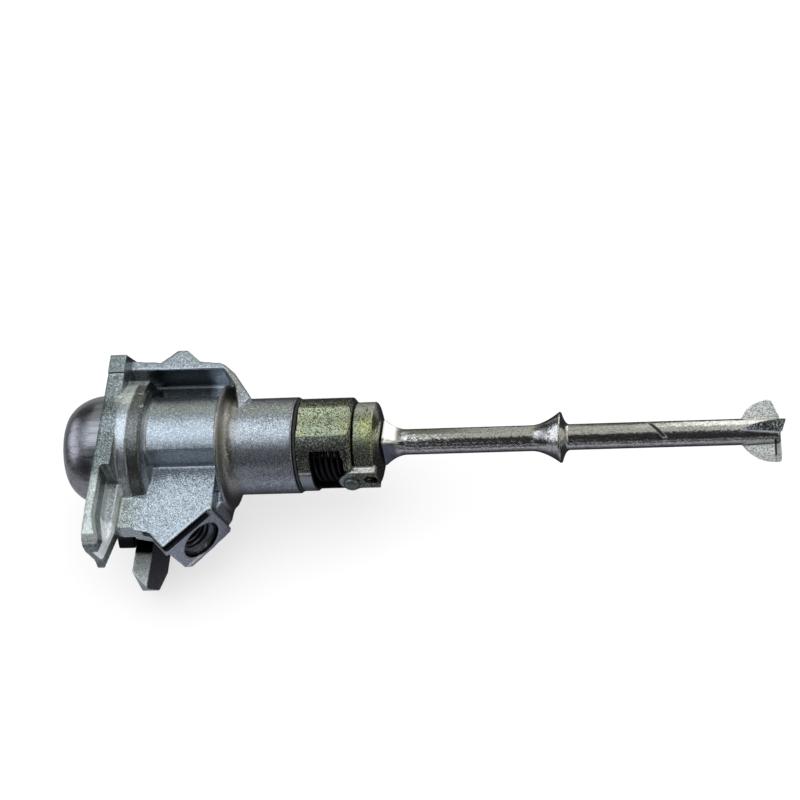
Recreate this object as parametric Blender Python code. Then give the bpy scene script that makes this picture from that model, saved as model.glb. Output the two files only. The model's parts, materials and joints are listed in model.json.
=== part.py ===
"""Door lock cylinder with a long drive rod, in metres, +X along the lock towards the rod, +Z up.

Sizes below are in millimetres. The frame's origin is on the lock's axis at the rear face of the flange.
"""
import math

import bmesh
import bpy
from mathutils import Matrix, Vector

MM = 0.001
GAP = 0.3
RUN = 0.3
TILT = math.radians(34)
BODY_SEGMENTS = 48
BORE_SEGMENTS = 40

# Flange plate, seen almost edge on in use
FLANGE_THICK = 4.2
FLANGE_HALF = 15.7
FLANGE_FAR_Y = 21.0
FLANGE_NEAR_Y = -34.9
LEDGE_Z = 7.0
LEDGE_X = -2.2
LEDGE_START_Y = -14.0
LEDGE_END_Y = -23.8
LEDGE_SLOPE = 5.4

# Turned forms of the die casting
BARREL_R = 12.9
COLLAR_STEP = 3.4
COLLAR_LENGTH = 6.1
COLLAR_RIM_LENGTH = 2.6
SHOULDER_STEP = 2.7
SHOULDER_START = 24.6
REAR_R = 11.9
REAR_FILLET = 2.6
HOUSING_END = 43.1
NOSE_R = 12.9
NOSE_CHAMFER = 1.3
NOSE_LENGTH = 6.8
SIDE_WALL_Y = 7.3

# Web plate, boss and rail
WEB_TOP = 3.5
WEB_THICK = 4.5
RAIL_TOP = 11.2
RAIL_Y = 16.6
RAIL_THICK = 2.2
TOOTH_RISE = 3.4
BOSS_BOTTOM = -11.4
BOSS_STEP = 0.6
BOSS_DEPTH = 16.0
GUSSET_BOTTOM = -10.0
EAR_LENGTH = 5.4
SCREW_HOLE_R = 3.7
SCREW_SINK_R = 5.15
SCREW_SINK_DEPTH = 1.6
SCREW_DEPTH = 10.0
LEG_START_X = 1.0
LEG_THICK = 4.4
LEG_TOP = -9.5
LEG_DROP = 15.0

# Rotor inside the casting
BORE_R = 7.0
SLEEVE_WALL = 1.2
PLUG_R = 5.2
PLUG_HEAD_R = 7.2
PLUG_HEAD_LENGTH = 8.4
PLUG_FACE_X = -15.0
PLUG_END_X = 34.0
TAIL_R = 3.6
TAIL_GRIP = 2.2
TAIL_SQUARE = 4.0
KEYWAY_HEIGHT = 7.6
KEYWAY_WIDTH = 2.4
KEYWAY_END_X = 27.0
CLIP_THICK = 1.0
CLIP_GROOVE = 0.9
CLIP_AHEAD = 2.0
WASHER_THICK = 0.9
WASHER_WIDTH = 2.6

# Wafers
WAFER_COUNT = 8
WAFER_PITCH = 2.7
WAFER_FIRST_X = 2.6
WAFER_THICK = 1.2
WAFER_WIDTH = 4.6
WAFER_HEIGHT = 9.0
WAFER_LIFT = 0.8
WAFER_EAR = 1.2
EAR_TOP = 1.6
EAR_BOTTOM = 0.4
SPRING_FLOOR = 3.1
SPRING_R = 0.45
SPRING_WIRE = 0.13

# Face cap and shutter
CAP_R = 13.85
CAP_SHEET = 0.55
CAP_FRONT_X = -15.7
CAP_SKIRT = 2.2
CAP_FACE_R = 8.2
GASKET_THICK = 0.8
SHUTTER_THICK = 0.7
SHUTTER_PIN_R = 0.5

# Driver at the rear
SEAM_THICK = 0.6
SEAM_GAP = 0.15
SEAM_CLEAR = 0.8
SEAM_INSET = 0.45
DRIVER_INSET = 0.5
DRIVER_WALL = 1.9
DRIVER_LENGTH = 13.4
DRIVER_END_WALL = 1.9
SPRING_COIL_WIRE = 0.6
FLAT_HALF_ANGLE = math.radians(19.7)
WINDOW_START = 3.2
WINDOW_LENGTH = 8.2
WINDOW_HALF_ANGLE = math.radians(48)
CAM_R = 10.1
CAM_THICK = 4.9
CAM_CONE = 1.0
CAM_FACE_R = 6.4
SPIGOT_R = 6.2
SPIGOT_LENGTH = 3.1
LUG_FACE_Y = 10.9
LUG_ROOT_Y = 8.6
LUG_TOP = 3.7
LUG_BOTTOM = -3.4
LUG_NOSE = 3.1
LUG_HOLE_R = 1.7
LUG_HOLE_DEPTH = 3.0
PIN_HEAD_R = 2.1
PIN_HEAD_THICK = 1.2
PIN_SHANK_R = 0.9
PIN_Z = -0.7
PIN_REACH = 6.7
LUG_PIN_BACK = 1.1
LUG_HOLE_AHEAD = 3.7

# Rod
ROD_R = 3.15
ROD_COLLAR_R = 6.2
ROD_COLLAR_X = 107.4
COLLAR_FLARE = 7.0
ROD_END_X = 159.5
ROOT_HALF_DIAGONAL = 5.8
ROOT_LENGTH = 6.0
TENON_HALF_DIAGONAL = 3.1
WING_R = 7.2
WING_THICK = 2.6
WING_START_X = 150.6
WING_TURN = math.radians(22)

# Places that follow from the sizes
collar_r = BARREL_R + COLLAR_STEP
shoulder_r = BARREL_R + SHOULDER_STEP
washer_r = TAIL_R + WASHER_WIDTH
driver_start = HOUSING_END + SEAM_THICK + 2 * SEAM_GAP
driver_end = driver_start + DRIVER_LENGTH
driver_r = REAR_R - DRIVER_INSET
cam_start = driver_end + GAP
cam_end = cam_start + CAM_THICK
spigot_start = cam_start - SPIGOT_LENGTH - GAP
tail_end = spigot_start + TAIL_GRIP
root_start = cam_end + CAM_CONE + GAP
sleeve_outer = BORE_R - RUN
sleeve_inner = sleeve_outer - SLEEVE_WALL
web_bottom = WEB_TOP - WEB_THICK
head_end = PLUG_FACE_X + PLUG_HEAD_LENGTH
clip_x = HOUSING_END + CLIP_AHEAD
lug_pin_x = cam_start - LUG_PIN_BACK
lug_hole_x = cam_start + LUG_HOLE_AHEAD
spring_y = WAFER_WIDTH / 2 + WAFER_EAR / 2
shutter_half = KEYWAY_HEIGHT / 2 + 0.4
pocket_x = PLUG_FACE_X + 1.0
pocket_end_x = pocket_x + 5.2
pocket_y = KEYWAY_WIDTH / 2 + 2.65
hinge_x = pocket_x + 1.0
hinge_y = KEYWAY_WIDTH / 2 + 1.4

# The screw boss faces level, square to the run between these two corners
boss_corner = (12.4, -30.4)
boss_top_corner = (22.4, -19.9)
boss_run = (Vector(boss_top_corner) - Vector(boss_corner)).normalized()
boss_normal = Vector((boss_run.y, -boss_run.x, 0))
screw_centre = Vector((18.9, -23.3, -4.65))


def clear_scene():
    for item in list(bpy.data.objects):
        bpy.data.objects.remove(item)


def material(name, colour, roughness, metallic):
    found = bpy.data.materials.get(name)
    if found:
        return found
    made = bpy.data.materials.new(name)
    made.use_nodes = True
    shader = made.node_tree.nodes["Principled BSDF"]
    shader.inputs["Base Color"].default_value = (*colour, 1.0)
    shader.inputs["Roughness"].default_value = roughness
    shader.inputs["Metallic"].default_value = metallic
    return made


def zinc():
    return material("satin_zinc_casting", (0.46, 0.49, 0.50), 0.42, 1.0)


def stainless():
    return material("dark_brushed_cap", (0.20, 0.20, 0.21), 0.35, 1.0)


def chromate():
    return material("chromated_zinc", (0.48, 0.46, 0.33), 0.38, 1.0)


def bright_steel():
    return material("bright_plated_rod", (0.62, 0.62, 0.60), 0.22, 1.0)


def brass():
    return material("wafer_brass", (0.66, 0.52, 0.28), 0.35, 1.0)


def spring_steel():
    return material("dark_spring_steel", (0.10, 0.10, 0.11), 0.4, 1.0)


def rubber():
    return material("black_rubber", (0.02, 0.02, 0.022), 0.7, 0.0)


def finish_mesh(name, bm, finish, smooth=True):
    """Turns a bmesh in millimetres into an object in metres."""
    bmesh.ops.recalc_face_normals(bm, faces=bm.faces)
    bmesh.ops.scale(bm, vec=(MM, MM, MM), verts=bm.verts)
    mesh = bpy.data.meshes.new(name)
    bm.to_mesh(mesh)
    bm.free()
    mesh.materials.append(finish)
    if smooth:
        mesh.shade_smooth()
        mesh.set_sharp_from_angle(angle=math.radians(35))
    made = bpy.data.objects.new(name, mesh)
    bpy.context.scene.collection.objects.link(made)
    return made


def turned(profile, segments, closed=True):
    """Revolves (x, radius) points about the X axis; a radius of 0 becomes one point."""
    bm = bmesh.new()
    rings = []
    for x, radius in profile:
        if radius == 0:
            rings.append([bm.verts.new((x, 0, 0))])
            continue
        turn = [2 * math.pi * k / segments for k in range(segments)]
        rings.append([bm.verts.new((x, radius * math.cos(a), radius * math.sin(a))) for a in turn])
    pairs = list(zip(rings, rings[1:]))
    if closed:
        pairs.append((rings[-1], rings[0]))
    for one, two in pairs:
        for k in range(segments):
            nxt = k + 1
            corners = [one[k % len(one)], one[nxt % len(one)], two[nxt % len(two)], two[k % len(two)]]
            ring = list(dict.fromkeys(corners))
            if len(ring) > 2:
                bm.faces.new(ring)
    return bm


def tube(start, end, inner, outer, segments):
    """A plain ring or sleeve about the X axis."""
    return turned(((start, inner), (end, inner), (end, outer), (start, outer)), segments)


def prism(outline, low, high, axis="z"):
    """Extrudes an outline: (x, y) points along z, (y, z) points along x or (x, z) points along y."""
    place = {
        "z": lambda a, b, t: (a, b, t),
        "x": lambda a, b, t: (t, a, b),
        "y": lambda a, b, t: (a, t, b),
    }[axis]
    bm = bmesh.new()
    lower = [bm.verts.new(place(a, b, low)) for a, b in outline]
    upper = [bm.verts.new(place(a, b, high)) for a, b in outline]
    bm.faces.new(lower)
    bm.faces.new(list(reversed(upper)))
    for k in range(len(outline)):
        nxt = (k + 1) % len(outline)
        bm.faces.new((lower[k], lower[nxt], upper[nxt], upper[k]))
    return bm


def block(low, high):
    outline = ((low[0], low[1]), (high[0], low[1]), (high[0], high[1]), (low[0], high[1]))
    return prism(outline, low[2], high[2])


def rod_between(start, end, radius, segments=24):
    """A plain cylinder from one point to another."""
    start, end = Vector(start), Vector(end)
    span = end - start
    bm = turned(((0, 0), (0, radius), (span.length, radius), (span.length, 0)), segments, closed=False)
    turn = Vector((1, 0, 0)).rotation_difference(span.normalized()).to_matrix().to_4x4()
    bmesh.ops.transform(bm, matrix=Matrix.Translation(start) @ turn, verts=bm.verts)
    return bm


def upright(x, y, low, high, radius, segments=16):
    """A plain cylinder along Z."""
    return rod_between((x, y, low), (x, y, high), radius, segments)


def crosswise(x, z, start, end, radius, segments=20):
    """A plain cylinder along Y."""
    return rod_between((x, start, z), (x, end, z), radius, segments)


def helix(name, turns, radius, wire, start, length, finish, axis, centre, steps, sides):
    """A round wire coil along axis 'x' or 'z', built as one closed tube with flat ends."""
    count = int(turns * steps)
    bm = bmesh.new()
    rings = []
    for k in range(count + 1):
        angle = 2 * math.pi * k / steps
        travel = start + length * k / count
        ring = []
        for j in range(sides):
            roll = 2 * math.pi * j / sides
            reach = radius + wire * math.cos(roll)
            along = travel + wire * math.sin(roll)
            a, b = reach * math.cos(angle), reach * math.sin(angle)
            point = (along, a, b) if axis == "x" else (a, b, along)
            ring.append(bm.verts.new(Vector(point) + Vector(centre)))
        rings.append(ring)
    for one, two in zip(rings, rings[1:]):
        for j in range(sides):
            nxt = (j + 1) % sides
            bm.faces.new((one[j], one[nxt], two[nxt], two[j]))
    bm.faces.new(rings[0])
    bm.faces.new(rings[-1])
    return finish_mesh(name, bm, finish)


def boolean(target, bm, operation):
    """Joins a hidden shape to an object, or cuts it away."""
    name = f"{target.name}_{operation.lower()}_{len(target.modifiers)}"
    tool = finish_mesh(name, bm, target.data.materials[0])
    tool.hide_render = True
    tool.display_type = "WIRE"
    modifier = target.modifiers.new(tool.name, "BOOLEAN")
    modifier.operation = operation
    modifier.object = tool
    modifier.solver = "EXACT"
    return tool


def join(target, bm):
    return boolean(target, bm, "UNION")


def cut(target, bm):
    return boolean(target, bm, "DIFFERENCE")


def wedge(lower, low, upper, high):
    """A solid between two level outlines of (x, y) points that have the same number of corners."""
    bm = prism(lower, low, high)
    for vert, (x, y) in zip(bm.verts[len(lower):], upper):
        vert.co.x, vert.co.y = x, y
    return bm


def joint_empty(name, place, parts):
    """An empty on a joint's axis that carries its pieces."""
    empty = bpy.data.objects.new(name, None)
    empty.location = Vector(place) * MM
    bpy.context.scene.collection.objects.link(empty)
    for part in parts:
        part.parent = empty
        part.matrix_parent_inverse = Matrix.Translation(-Vector(place) * MM)
    return empty


def flange_outline():
    half, near, far = FLANGE_HALF, FLANGE_NEAR_Y, FLANGE_FAR_Y
    return (
        (far - 3.0, half + 0.5), (far, RAIL_TOP - 2), (far, -9.0), (far - 3.0, -half),
        (-14.5, -half), (-21.3, -12.5), (-20.0, -10.0), (-19.5, -0.8), (-26.0, -0.1),
        (near + 1.1, 0.0), (near + 1.6, 3.0), (near, 10.0), (near, 12.4),
        (near + 0.7, half - 1.7), (near + 2.2, half - 0.7), (near + 4.6, half - 0.2),
        (-24.5, half), (12.7, half), (12.9, half + 0.5),
    )


def rail_outline():
    outer = RAIL_Y + RAIL_THICK
    return (
        (-1.0, outer + 0.7), (7.5, outer), (11.4, outer + TOOTH_RISE), (13.9, outer + TOOTH_RISE),
        (17.6, outer - 0.1), (23.0, outer - 0.8), (24.4, outer - 1.6), (27.0, outer - 4.1), (32.0, 7.2),
        (29.0, 4.0), (27.4, 11.4), (24.0, RAIL_Y - 0.3), (-1.0, RAIL_Y),
    )


def web_outline():
    outer = RAIL_Y + RAIL_THICK
    return (
        (-1.0, -24.4), (0.5, -24.6), (8.5, -26.2), boss_corner, boss_top_corner, (23.3, -19.8), (23.3, -5.0),
        (31.2, 7.2), (26.8, outer - 4.3), (24.2, outer - 1.8), (-1.0, outer - 0.6),
    )


def shoulder_fillet():
    """The hollow curve from the shoulder's rim down to the rear barrel."""
    centre_x = SHOULDER_START + 1.1 + REAR_FILLET
    centre_r = REAR_R + REAR_FILLET
    turns = [math.pi / 2 * k / 4 for k in range(5)]
    return [(centre_x - REAR_FILLET * math.cos(a), centre_r - REAR_FILLET * math.sin(a)) for a in turns]


def boss_shape():
    """The boss seen square on to its face, drawn back into the casting."""
    top = WEB_TOP - 0.5
    outline = ((0.0, top), (2.8, -9.4), (4.6, BOSS_BOTTOM), (17.3, BOSS_BOTTOM + 1.0),
               (17.8, -9.2), (17.0, -5.2), (15.3, top))
    bm = prism(outline, -BOSS_DEPTH, BOSS_STEP, "y")
    turn = Matrix((
        (boss_run.x, boss_normal.x, 0, boss_corner[0]),
        (boss_run.y, boss_normal.y, 0, boss_corner[1]),
        (0, 0, 1, 0),
        (0, 0, 0, 1)))
    bmesh.ops.transform(bm, matrix=turn, verts=bm.verts)
    return bm


def gusset_outline():
    """The wall that leads from the boss round to the shoulder."""
    return ((15.0, -17.0), (22.8, -19.4), (24.9, -15.5), (25.3, -12.0), (25.3, -7.0), (15.0, -7.0))


def ear_outline():
    """The swelling on the collar's far side, touching its circle at both ends."""
    return ((7.6, 14.3), (13.4, 11.3), (15.3, 5.2), (6.0, 2.0))


def leg_outline():
    bottom = LEG_TOP - LEG_DROP
    return ((-9.0, LEG_TOP), (-34.4, LEG_TOP), (-29.2, -20.0),
            (-21.7, bottom), (-16.0, bottom), (-6.0, -14.0))


def make_housing():
    nose_x = -FLANGE_THICK - NOSE_LENGTH
    body = finish_mesh("housing", turned((
        (nose_x, 0), (nose_x, NOSE_R - NOSE_CHAMFER), (nose_x + NOSE_CHAMFER, NOSE_R),
        (-FLANGE_THICK + 0.5, NOSE_R), (-FLANGE_THICK + 0.5, collar_r),
        (COLLAR_RIM_LENGTH, collar_r), (COLLAR_RIM_LENGTH + 0.3, collar_r - 0.35),
        (COLLAR_LENGTH - 0.5, collar_r - 0.6), (COLLAR_LENGTH, collar_r - 1.1),
        (COLLAR_LENGTH + 0.3, BARREL_R + 0.6),
        (COLLAR_LENGTH + 0.9, BARREL_R), (SHOULDER_START - 0.5, BARREL_R),
        (SHOULDER_START - 0.1, BARREL_R + 0.5), (SHOULDER_START, shoulder_r - 0.5),
        (SHOULDER_START + 0.3, shoulder_r), (SHOULDER_START + 0.9, shoulder_r - 0.2), *shoulder_fillet(),
        (HOUSING_END, REAR_R), (HOUSING_END, 0)), BODY_SEGMENTS, closed=False), zinc())
    cut(body, block(
        (COLLAR_LENGTH + 0.6, -BARREL_R - 2, 0.5), (SHOULDER_START - 0.3, -SIDE_WALL_Y, BARREL_R + 2)))
    join(body, prism(flange_outline(), -FLANGE_THICK, 0, "x"))
    join(body, prism(web_outline(), web_bottom, WEB_TOP))
    join(body, prism(rail_outline(), web_bottom - 0.4, RAIL_TOP))
    join(body, boss_shape())
    join(body, prism(gusset_outline(), GUSSET_BOTTOM, web_bottom + 1.0))
    join(body, prism(ear_outline(), -0.5, EAR_LENGTH, "x"))
    join(body, prism(leg_outline(), LEG_START_X, LEG_START_X + LEG_THICK, "x"))
    cut_flange(body)
    cut_leg_tip(body)
    cut_screw_hole(body)
    cut(body, turned((
        (nose_x - 1, 0), (nose_x - 1, PLUG_HEAD_R + RUN), (head_end + GAP, PLUG_HEAD_R + RUN),
        (head_end + GAP, BORE_R), (PLUG_END_X + GAP, BORE_R), (PLUG_END_X + GAP, TAIL_R + RUN),
        (HOUSING_END + 1, TAIL_R + RUN), (HOUSING_END + 1, 0)), BORE_SEGMENTS, closed=False))
    return body


def cut_flange(body):
    """The stepped ledge along the flange's long edge, and the slant behind its lower end."""
    near_y = FLANGE_NEAR_Y - 3
    ledge = ((LEDGE_X, LEDGE_START_Y), (2.0, LEDGE_START_Y), (2.0, near_y))
    ledge_low = (*ledge, (1.0, near_y), (LEDGE_X, LEDGE_END_Y))
    ledge_high = (*ledge, (1.6, near_y), (LEDGE_X, LEDGE_END_Y - LEDGE_SLOPE))
    cut(body, wedge(ledge_low, LEDGE_Z, ledge_high, FLANGE_HALF + 3))
    slant_low = ((-0.4, -24.7), (4.0, -24.7), (4.0, near_y), (-3.6, near_y))
    slant_high = ((2.4, -24.7), (4.0, -24.7), (4.0, near_y), (-0.9, near_y))
    cut(body, wedge(slant_low, -1.0, slant_high, FLANGE_HALF + 1.3))


def cut_leg_tip(body):
    """The leg's tip slants back towards the flange."""
    x, far_x = LEG_START_X - 1, LEG_START_X + LEG_THICK + 1
    tip_y = FLANGE_NEAR_Y + 6.5
    beyond_y = FLANGE_NEAR_Y - 10
    outline = ((x, tip_y), (far_x, tip_y - LEG_THICK - 2), (far_x, beyond_y), (x, beyond_y))
    cut(body, prism(outline, LEG_TOP - LEG_DROP - 2, LEG_TOP + 2))


def cut_screw_hole(body):
    mouth = screw_centre + boss_normal * (BOSS_STEP + 2)
    face = screw_centre + boss_normal * (BOSS_STEP - 0.15)
    cut(body, rod_between(mouth, face - boss_normal * SCREW_DEPTH, SCREW_HOLE_R))
    end = SCREW_SINK_DEPTH + 4
    sink = turned((
        (0, 0), (0, SCREW_SINK_R - 0.5), (SCREW_SINK_DEPTH, SCREW_SINK_R), (end, SCREW_SINK_R), (end, 0)),
        32, closed=False)
    turn = Vector((1, 0, 0)).rotation_difference(boss_normal).to_matrix().to_4x4()
    place = Matrix.Translation(face - boss_normal * SCREW_SINK_DEPTH)
    bmesh.ops.transform(sink, matrix=place @ turn, verts=sink.verts)
    cut(body, sink)


def make_face_cap():
    """A drawn cap: a short straight skirt, a large front radius and a flat face with a round opening."""
    back_x = -FLANGE_THICK - GAP
    skirt_x = back_x - CAP_SKIRT
    opening = PLUG_HEAD_R + RUN
    depth, width = skirt_x - CAP_FRONT_X, CAP_R - CAP_FACE_R
    outer = [(back_x, CAP_R)]
    inner = [(back_x, CAP_R - CAP_SHEET)]
    steps = 7
    for k in range(steps + 1):
        forward = math.sin(math.pi / 2 * k / steps)
        outward = math.cos(math.pi / 2 * k / steps)
        outer.append((skirt_x - depth * forward, CAP_FACE_R + width * outward))
        inner.append((skirt_x - (depth - CAP_SHEET) * forward, CAP_FACE_R + (width - CAP_SHEET) * outward))
    outer.append((CAP_FRONT_X, opening))
    inner.append((CAP_FRONT_X + CAP_SHEET, opening))
    return finish_mesh("face_cap", turned(outer + inner[::-1], BORE_SEGMENTS), stainless())


def make_cap_gasket():
    """A flat seal between the casting's nose and the cap, with its lip round the plug's head."""
    x = -FLANGE_THICK - NOSE_LENGTH - GAP
    low, high = PLUG_HEAD_R + RUN, NOSE_R - 1.6
    return finish_mesh("cap_gasket", tube(x - GASKET_THICK, x, low, high, BORE_SEGMENTS), rubber())


def make_plug():
    """The rotor: a wide head, a slotted shank, and a tail that ends in a square."""
    square_x = tail_end - TAIL_SQUARE
    body = finish_mesh("plug", turned((
        (PLUG_FACE_X, 0), (PLUG_FACE_X, PLUG_HEAD_R - 0.4), (PLUG_FACE_X + 0.4, PLUG_HEAD_R),
        (head_end, PLUG_HEAD_R), (head_end, PLUG_R), (PLUG_END_X, PLUG_R), (PLUG_END_X, TAIL_R),
        (square_x, TAIL_R), (square_x, 0)), BORE_SEGMENTS, closed=False), zinc())
    join(body, square_bar(square_x - 1, tail_end, TAIL_R - 0.1))
    half_h, half_w = KEYWAY_HEIGHT / 2, KEYWAY_WIDTH / 2
    cut(body, block((PLUG_FACE_X - 1, -half_w, -half_h), (KEYWAY_END_X, half_w, half_h)))
    pocket_half = shutter_half + GAP
    cut(body, block((pocket_x, -half_w - 0.8, -pocket_half), (pocket_end_x, pocket_y, pocket_half)))
    cut(body, upright(hinge_x, hinge_y, -PLUG_HEAD_R - 1, PLUG_HEAD_R + 1, SHUTTER_PIN_R + 0.1, 12))
    groove_end = clip_x + CLIP_THICK + GAP
    cut(body, tube(clip_x - GAP, groove_end, TAIL_R - CLIP_GROOVE, TAIL_R + 1, BORE_SEGMENTS))
    for number in range(WAFER_COUNT):
        cut_wafer_slot(body, number)
    return body


def wafer_x(number):
    return WAFER_FIRST_X + WAFER_PITCH * number


def wafer_side(number):
    """Every second wafer is turned half round."""
    return 1 if number % 2 == 0 else -1


def cut_wafer_slot(body, number):
    x, side = wafer_x(number), wafer_side(number)
    half_x = WAFER_THICK / 2 + GAP
    half_w = WAFER_WIDTH / 2
    reach = half_w + WAFER_EAR + GAP
    slot, beyond = half_w + GAP, PLUG_R + 1
    outline = ((-slot, -beyond), (slot, -beyond), (slot, -SPRING_FLOOR), (reach, -SPRING_FLOOR),
               (reach, EAR_TOP + GAP), (slot, EAR_TOP + GAP), (slot, beyond), (-slot, beyond))
    cut(body, prism([(a * side, b * side) for a, b in outline], x - half_x, x + half_x, "x"))


def make_wafer(number):
    """A sprung plate with a window for the blade and an ear for its spring."""
    x, side = wafer_x(number), wafer_side(number)
    half_w = WAFER_WIDTH / 2
    top, bottom = WAFER_HEIGHT / 2 + WAFER_LIFT, -WAFER_HEIGHT / 2 + WAFER_LIFT
    outline = ((-half_w, bottom), (half_w, bottom), (half_w, EAR_BOTTOM), (half_w + WAFER_EAR, EAR_BOTTOM),
               (half_w + WAFER_EAR, EAR_TOP), (half_w, EAR_TOP), (half_w, top), (-half_w, top))
    half_x = WAFER_THICK / 2
    plate = prism([(a * side, b * side) for a, b in outline], x - half_x, x + half_x, "x")
    made = finish_mesh(f"wafer_{number + 1}", plate, brass(), False)
    window_y, window_z = half_w - 1.0, WAFER_HEIGHT / 2 - 1.0
    shift = WAFER_LIFT * side
    cut(made, block((x - 2, -window_y, shift - window_z), (x + 2, window_y, shift + window_z)))
    joint_empty(f"wafer_{number + 1}_slide", (x, 0, 0), [made])
    return made


def make_wafer_spring(number):
    """The coil under a wafer's ear."""
    side = wafer_side(number)
    low = -SPRING_FLOOR + SPRING_WIRE + 0.1
    high = EAR_BOTTOM - SPRING_WIRE - 0.1
    start = low if side > 0 else -high
    return helix(f"wafer_spring_{number + 1}", 3, SPRING_R, SPRING_WIRE, start, high - low, spring_steel(),
                 "z", (wafer_x(number), spring_y * side, 0), steps=7, sides=4)


def make_slip_sleeve():
    """The sleeve round the plug's shank, slotted over and under the wafers."""
    start = head_end + 2 * GAP
    end = PLUG_END_X - GAP
    wall = tube(start, end, sleeve_inner, sleeve_outer, BORE_SEGMENTS)
    body = finish_mesh("slip_sleeve", wall, chromate())
    slot = WAFER_WIDTH / 2 + 0.4
    first = WAFER_FIRST_X - WAFER_THICK
    last = wafer_x(WAFER_COUNT - 1) + WAFER_THICK
    cut(body, block((first, -slot, -BORE_R - 1), (last, slot, -1)))
    cut(body, block((first, -slot, 1), (last, slot, BORE_R + 1)))
    return body


def make_shutter():
    """A leaf across the key slot with a rolled eye round its pin."""
    leaf_x = pocket_x + GAP
    leaf = finish_mesh("shutter", prism((
        (leaf_x, -KEYWAY_WIDTH / 2 - 0.4), (leaf_x + SHUTTER_THICK, -KEYWAY_WIDTH / 2 - 0.4),
        (leaf_x + SHUTTER_THICK, hinge_y), (leaf_x, hinge_y)), -shutter_half, shutter_half), bright_steel())
    eye_r = SHUTTER_PIN_R + 0.42
    join(leaf, upright(hinge_x, hinge_y, -shutter_half, -1.6, eye_r))
    join(leaf, upright(hinge_x, hinge_y, 1.6, shutter_half, eye_r))
    cut(leaf, block((hinge_x - 0.85, hinge_y - 1.1, -1.4), (hinge_x + 2, hinge_y + 2, 1.4)))
    cut(leaf, upright(hinge_x, hinge_y, -shutter_half - 1, shutter_half + 1, SHUTTER_PIN_R + 0.1))
    joint_empty("shutter_hinge", (hinge_x, hinge_y, 0), [leaf])
    return leaf


def make_shutter_pin():
    half = math.sqrt(PLUG_HEAD_R ** 2 - hinge_y ** 2) - 0.3
    return finish_mesh("shutter_pin", upright(hinge_x, hinge_y, -half, half, SHUTTER_PIN_R), bright_steel())


def make_shutter_spring():
    return helix("shutter_spring", 3, SHUTTER_PIN_R + 0.22, 0.11, -1.0, 2.0, spring_steel(), "z",
                 (hinge_x, hinge_y, 0), steps=8, sides=4)


def make_tail_clip():
    """A snap ring in the groove of the plug's tail."""
    inner, outer = TAIL_R - CLIP_GROOVE + GAP, TAIL_R + 1.3
    end = clip_x + CLIP_THICK
    ring = finish_mesh("tail_clip", tube(clip_x, end, inner, outer, 28), spring_steel())
    cut(ring, block((clip_x - 1, -1.6, 0), (end + 1, 1.6, outer + 1)))
    return ring


def make_seam_ring():
    """The black ring in the running joint between the casting and the driver."""
    start = HOUSING_END + SEAM_GAP
    outer = REAR_R - SEAM_INSET
    inner = washer_r + SEAM_CLEAR
    return finish_mesh("seam_ring", tube(start, start + SEAM_THICK, inner, outer, BORE_SEGMENTS), rubber())


def make_driver_sleeve():
    """The rear sleeve: a cup with two flats, a window over the spring and a notch for the cam's lug."""
    x0, x1 = driver_start, driver_end
    inner = driver_r - DRIVER_WALL
    wall_x = x1 - DRIVER_END_WALL
    body = finish_mesh("driver_sleeve", turned((
        (x0, inner), (wall_x, inner), (wall_x, SPIGOT_R + GAP), (x1, SPIGOT_R + GAP),
        (x1, driver_r - 1.0), (x1 - 0.8, driver_r), (x0, driver_r)), BODY_SEGMENTS), chromate())
    flat_z = driver_r * math.cos(FLAT_HALF_ANGLE)
    cut(body, block((x0 - 1, -9, flat_z), (x1 + 1, 9, driver_r + 1)))
    cut(body, block((x0 - 1, -9, -driver_r - 1), (x1 + 1, 9, -flat_z)))
    half = driver_r * math.sin(WINDOW_HALF_ANGLE)
    edge = -driver_r * math.cos(WINDOW_HALF_ANGLE)
    window_x = x0 + WINDOW_START
    cut(body, block((window_x, -driver_r - 2, -half), (window_x + WINDOW_LENGTH, edge + 2.4, half)))
    cut(body, block(
        (wall_x - 1, -driver_r - 2, LUG_BOTTOM - GAP), (x1 + 1, -LUG_ROOT_Y + GAP, LUG_TOP + GAP)))
    cut(body, crosswise(lug_pin_x, PIN_Z, -LUG_ROOT_Y - 1, -SPIGOT_R + 1, PIN_SHANK_R + 0.1, 12))
    return body


def make_return_spring():
    """The torsion spring that centres the driver."""
    wire = SPRING_COIL_WIRE
    start = clip_x + CLIP_THICK + GAP + wire
    end = driver_end - DRIVER_END_WALL - GAP - wire
    radius = driver_r - DRIVER_WALL - GAP - wire - 0.2
    return helix("return_spring", 5, radius, wire, start, end - start, spring_steel(), "x", (0, 0, 0),
                 steps=16, sides=5)


def make_cam():
    """The end disc with its conical rear face, a spigot into the sleeve and the lug on its near side."""
    x0, x1 = cam_start, cam_end
    body = finish_mesh("cam", turned((
        (spigot_start, 0), (spigot_start, SPIGOT_R), (x0, SPIGOT_R), (x0, CAM_R - 0.3),
        (x0 + 0.3, CAM_R), (x1 - 0.3, CAM_R), (x1, CAM_R - 0.3), (x1 + CAM_CONE, CAM_FACE_R),
        (x1 + CAM_CONE, 0)), BODY_SEGMENTS, closed=False), chromate())
    join(body, lug_shape())
    outside, face = -LUG_FACE_Y - 1, -LUG_FACE_Y
    cut(body, crosswise(lug_hole_x, 0.1, outside, face + LUG_HOLE_DEPTH, LUG_HOLE_R))
    cut(body, crosswise(lug_pin_x, PIN_Z, outside, face + PIN_HEAD_THICK, PIN_HEAD_R + 0.1))
    cut(body, crosswise(lug_pin_x, PIN_Z, face, -TAIL_R + 0.6, PIN_SHANK_R + 0.1, 12))
    cut(body, square_bar(spigot_start - 1, tail_end + GAP, TAIL_R - 0.1 + GAP * 1.5))
    cut(body, square_bar(tail_end - 1, x1 + CAM_CONE + 1, TENON_HALF_DIAGONAL + GAP * 1.5))
    return body


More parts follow.
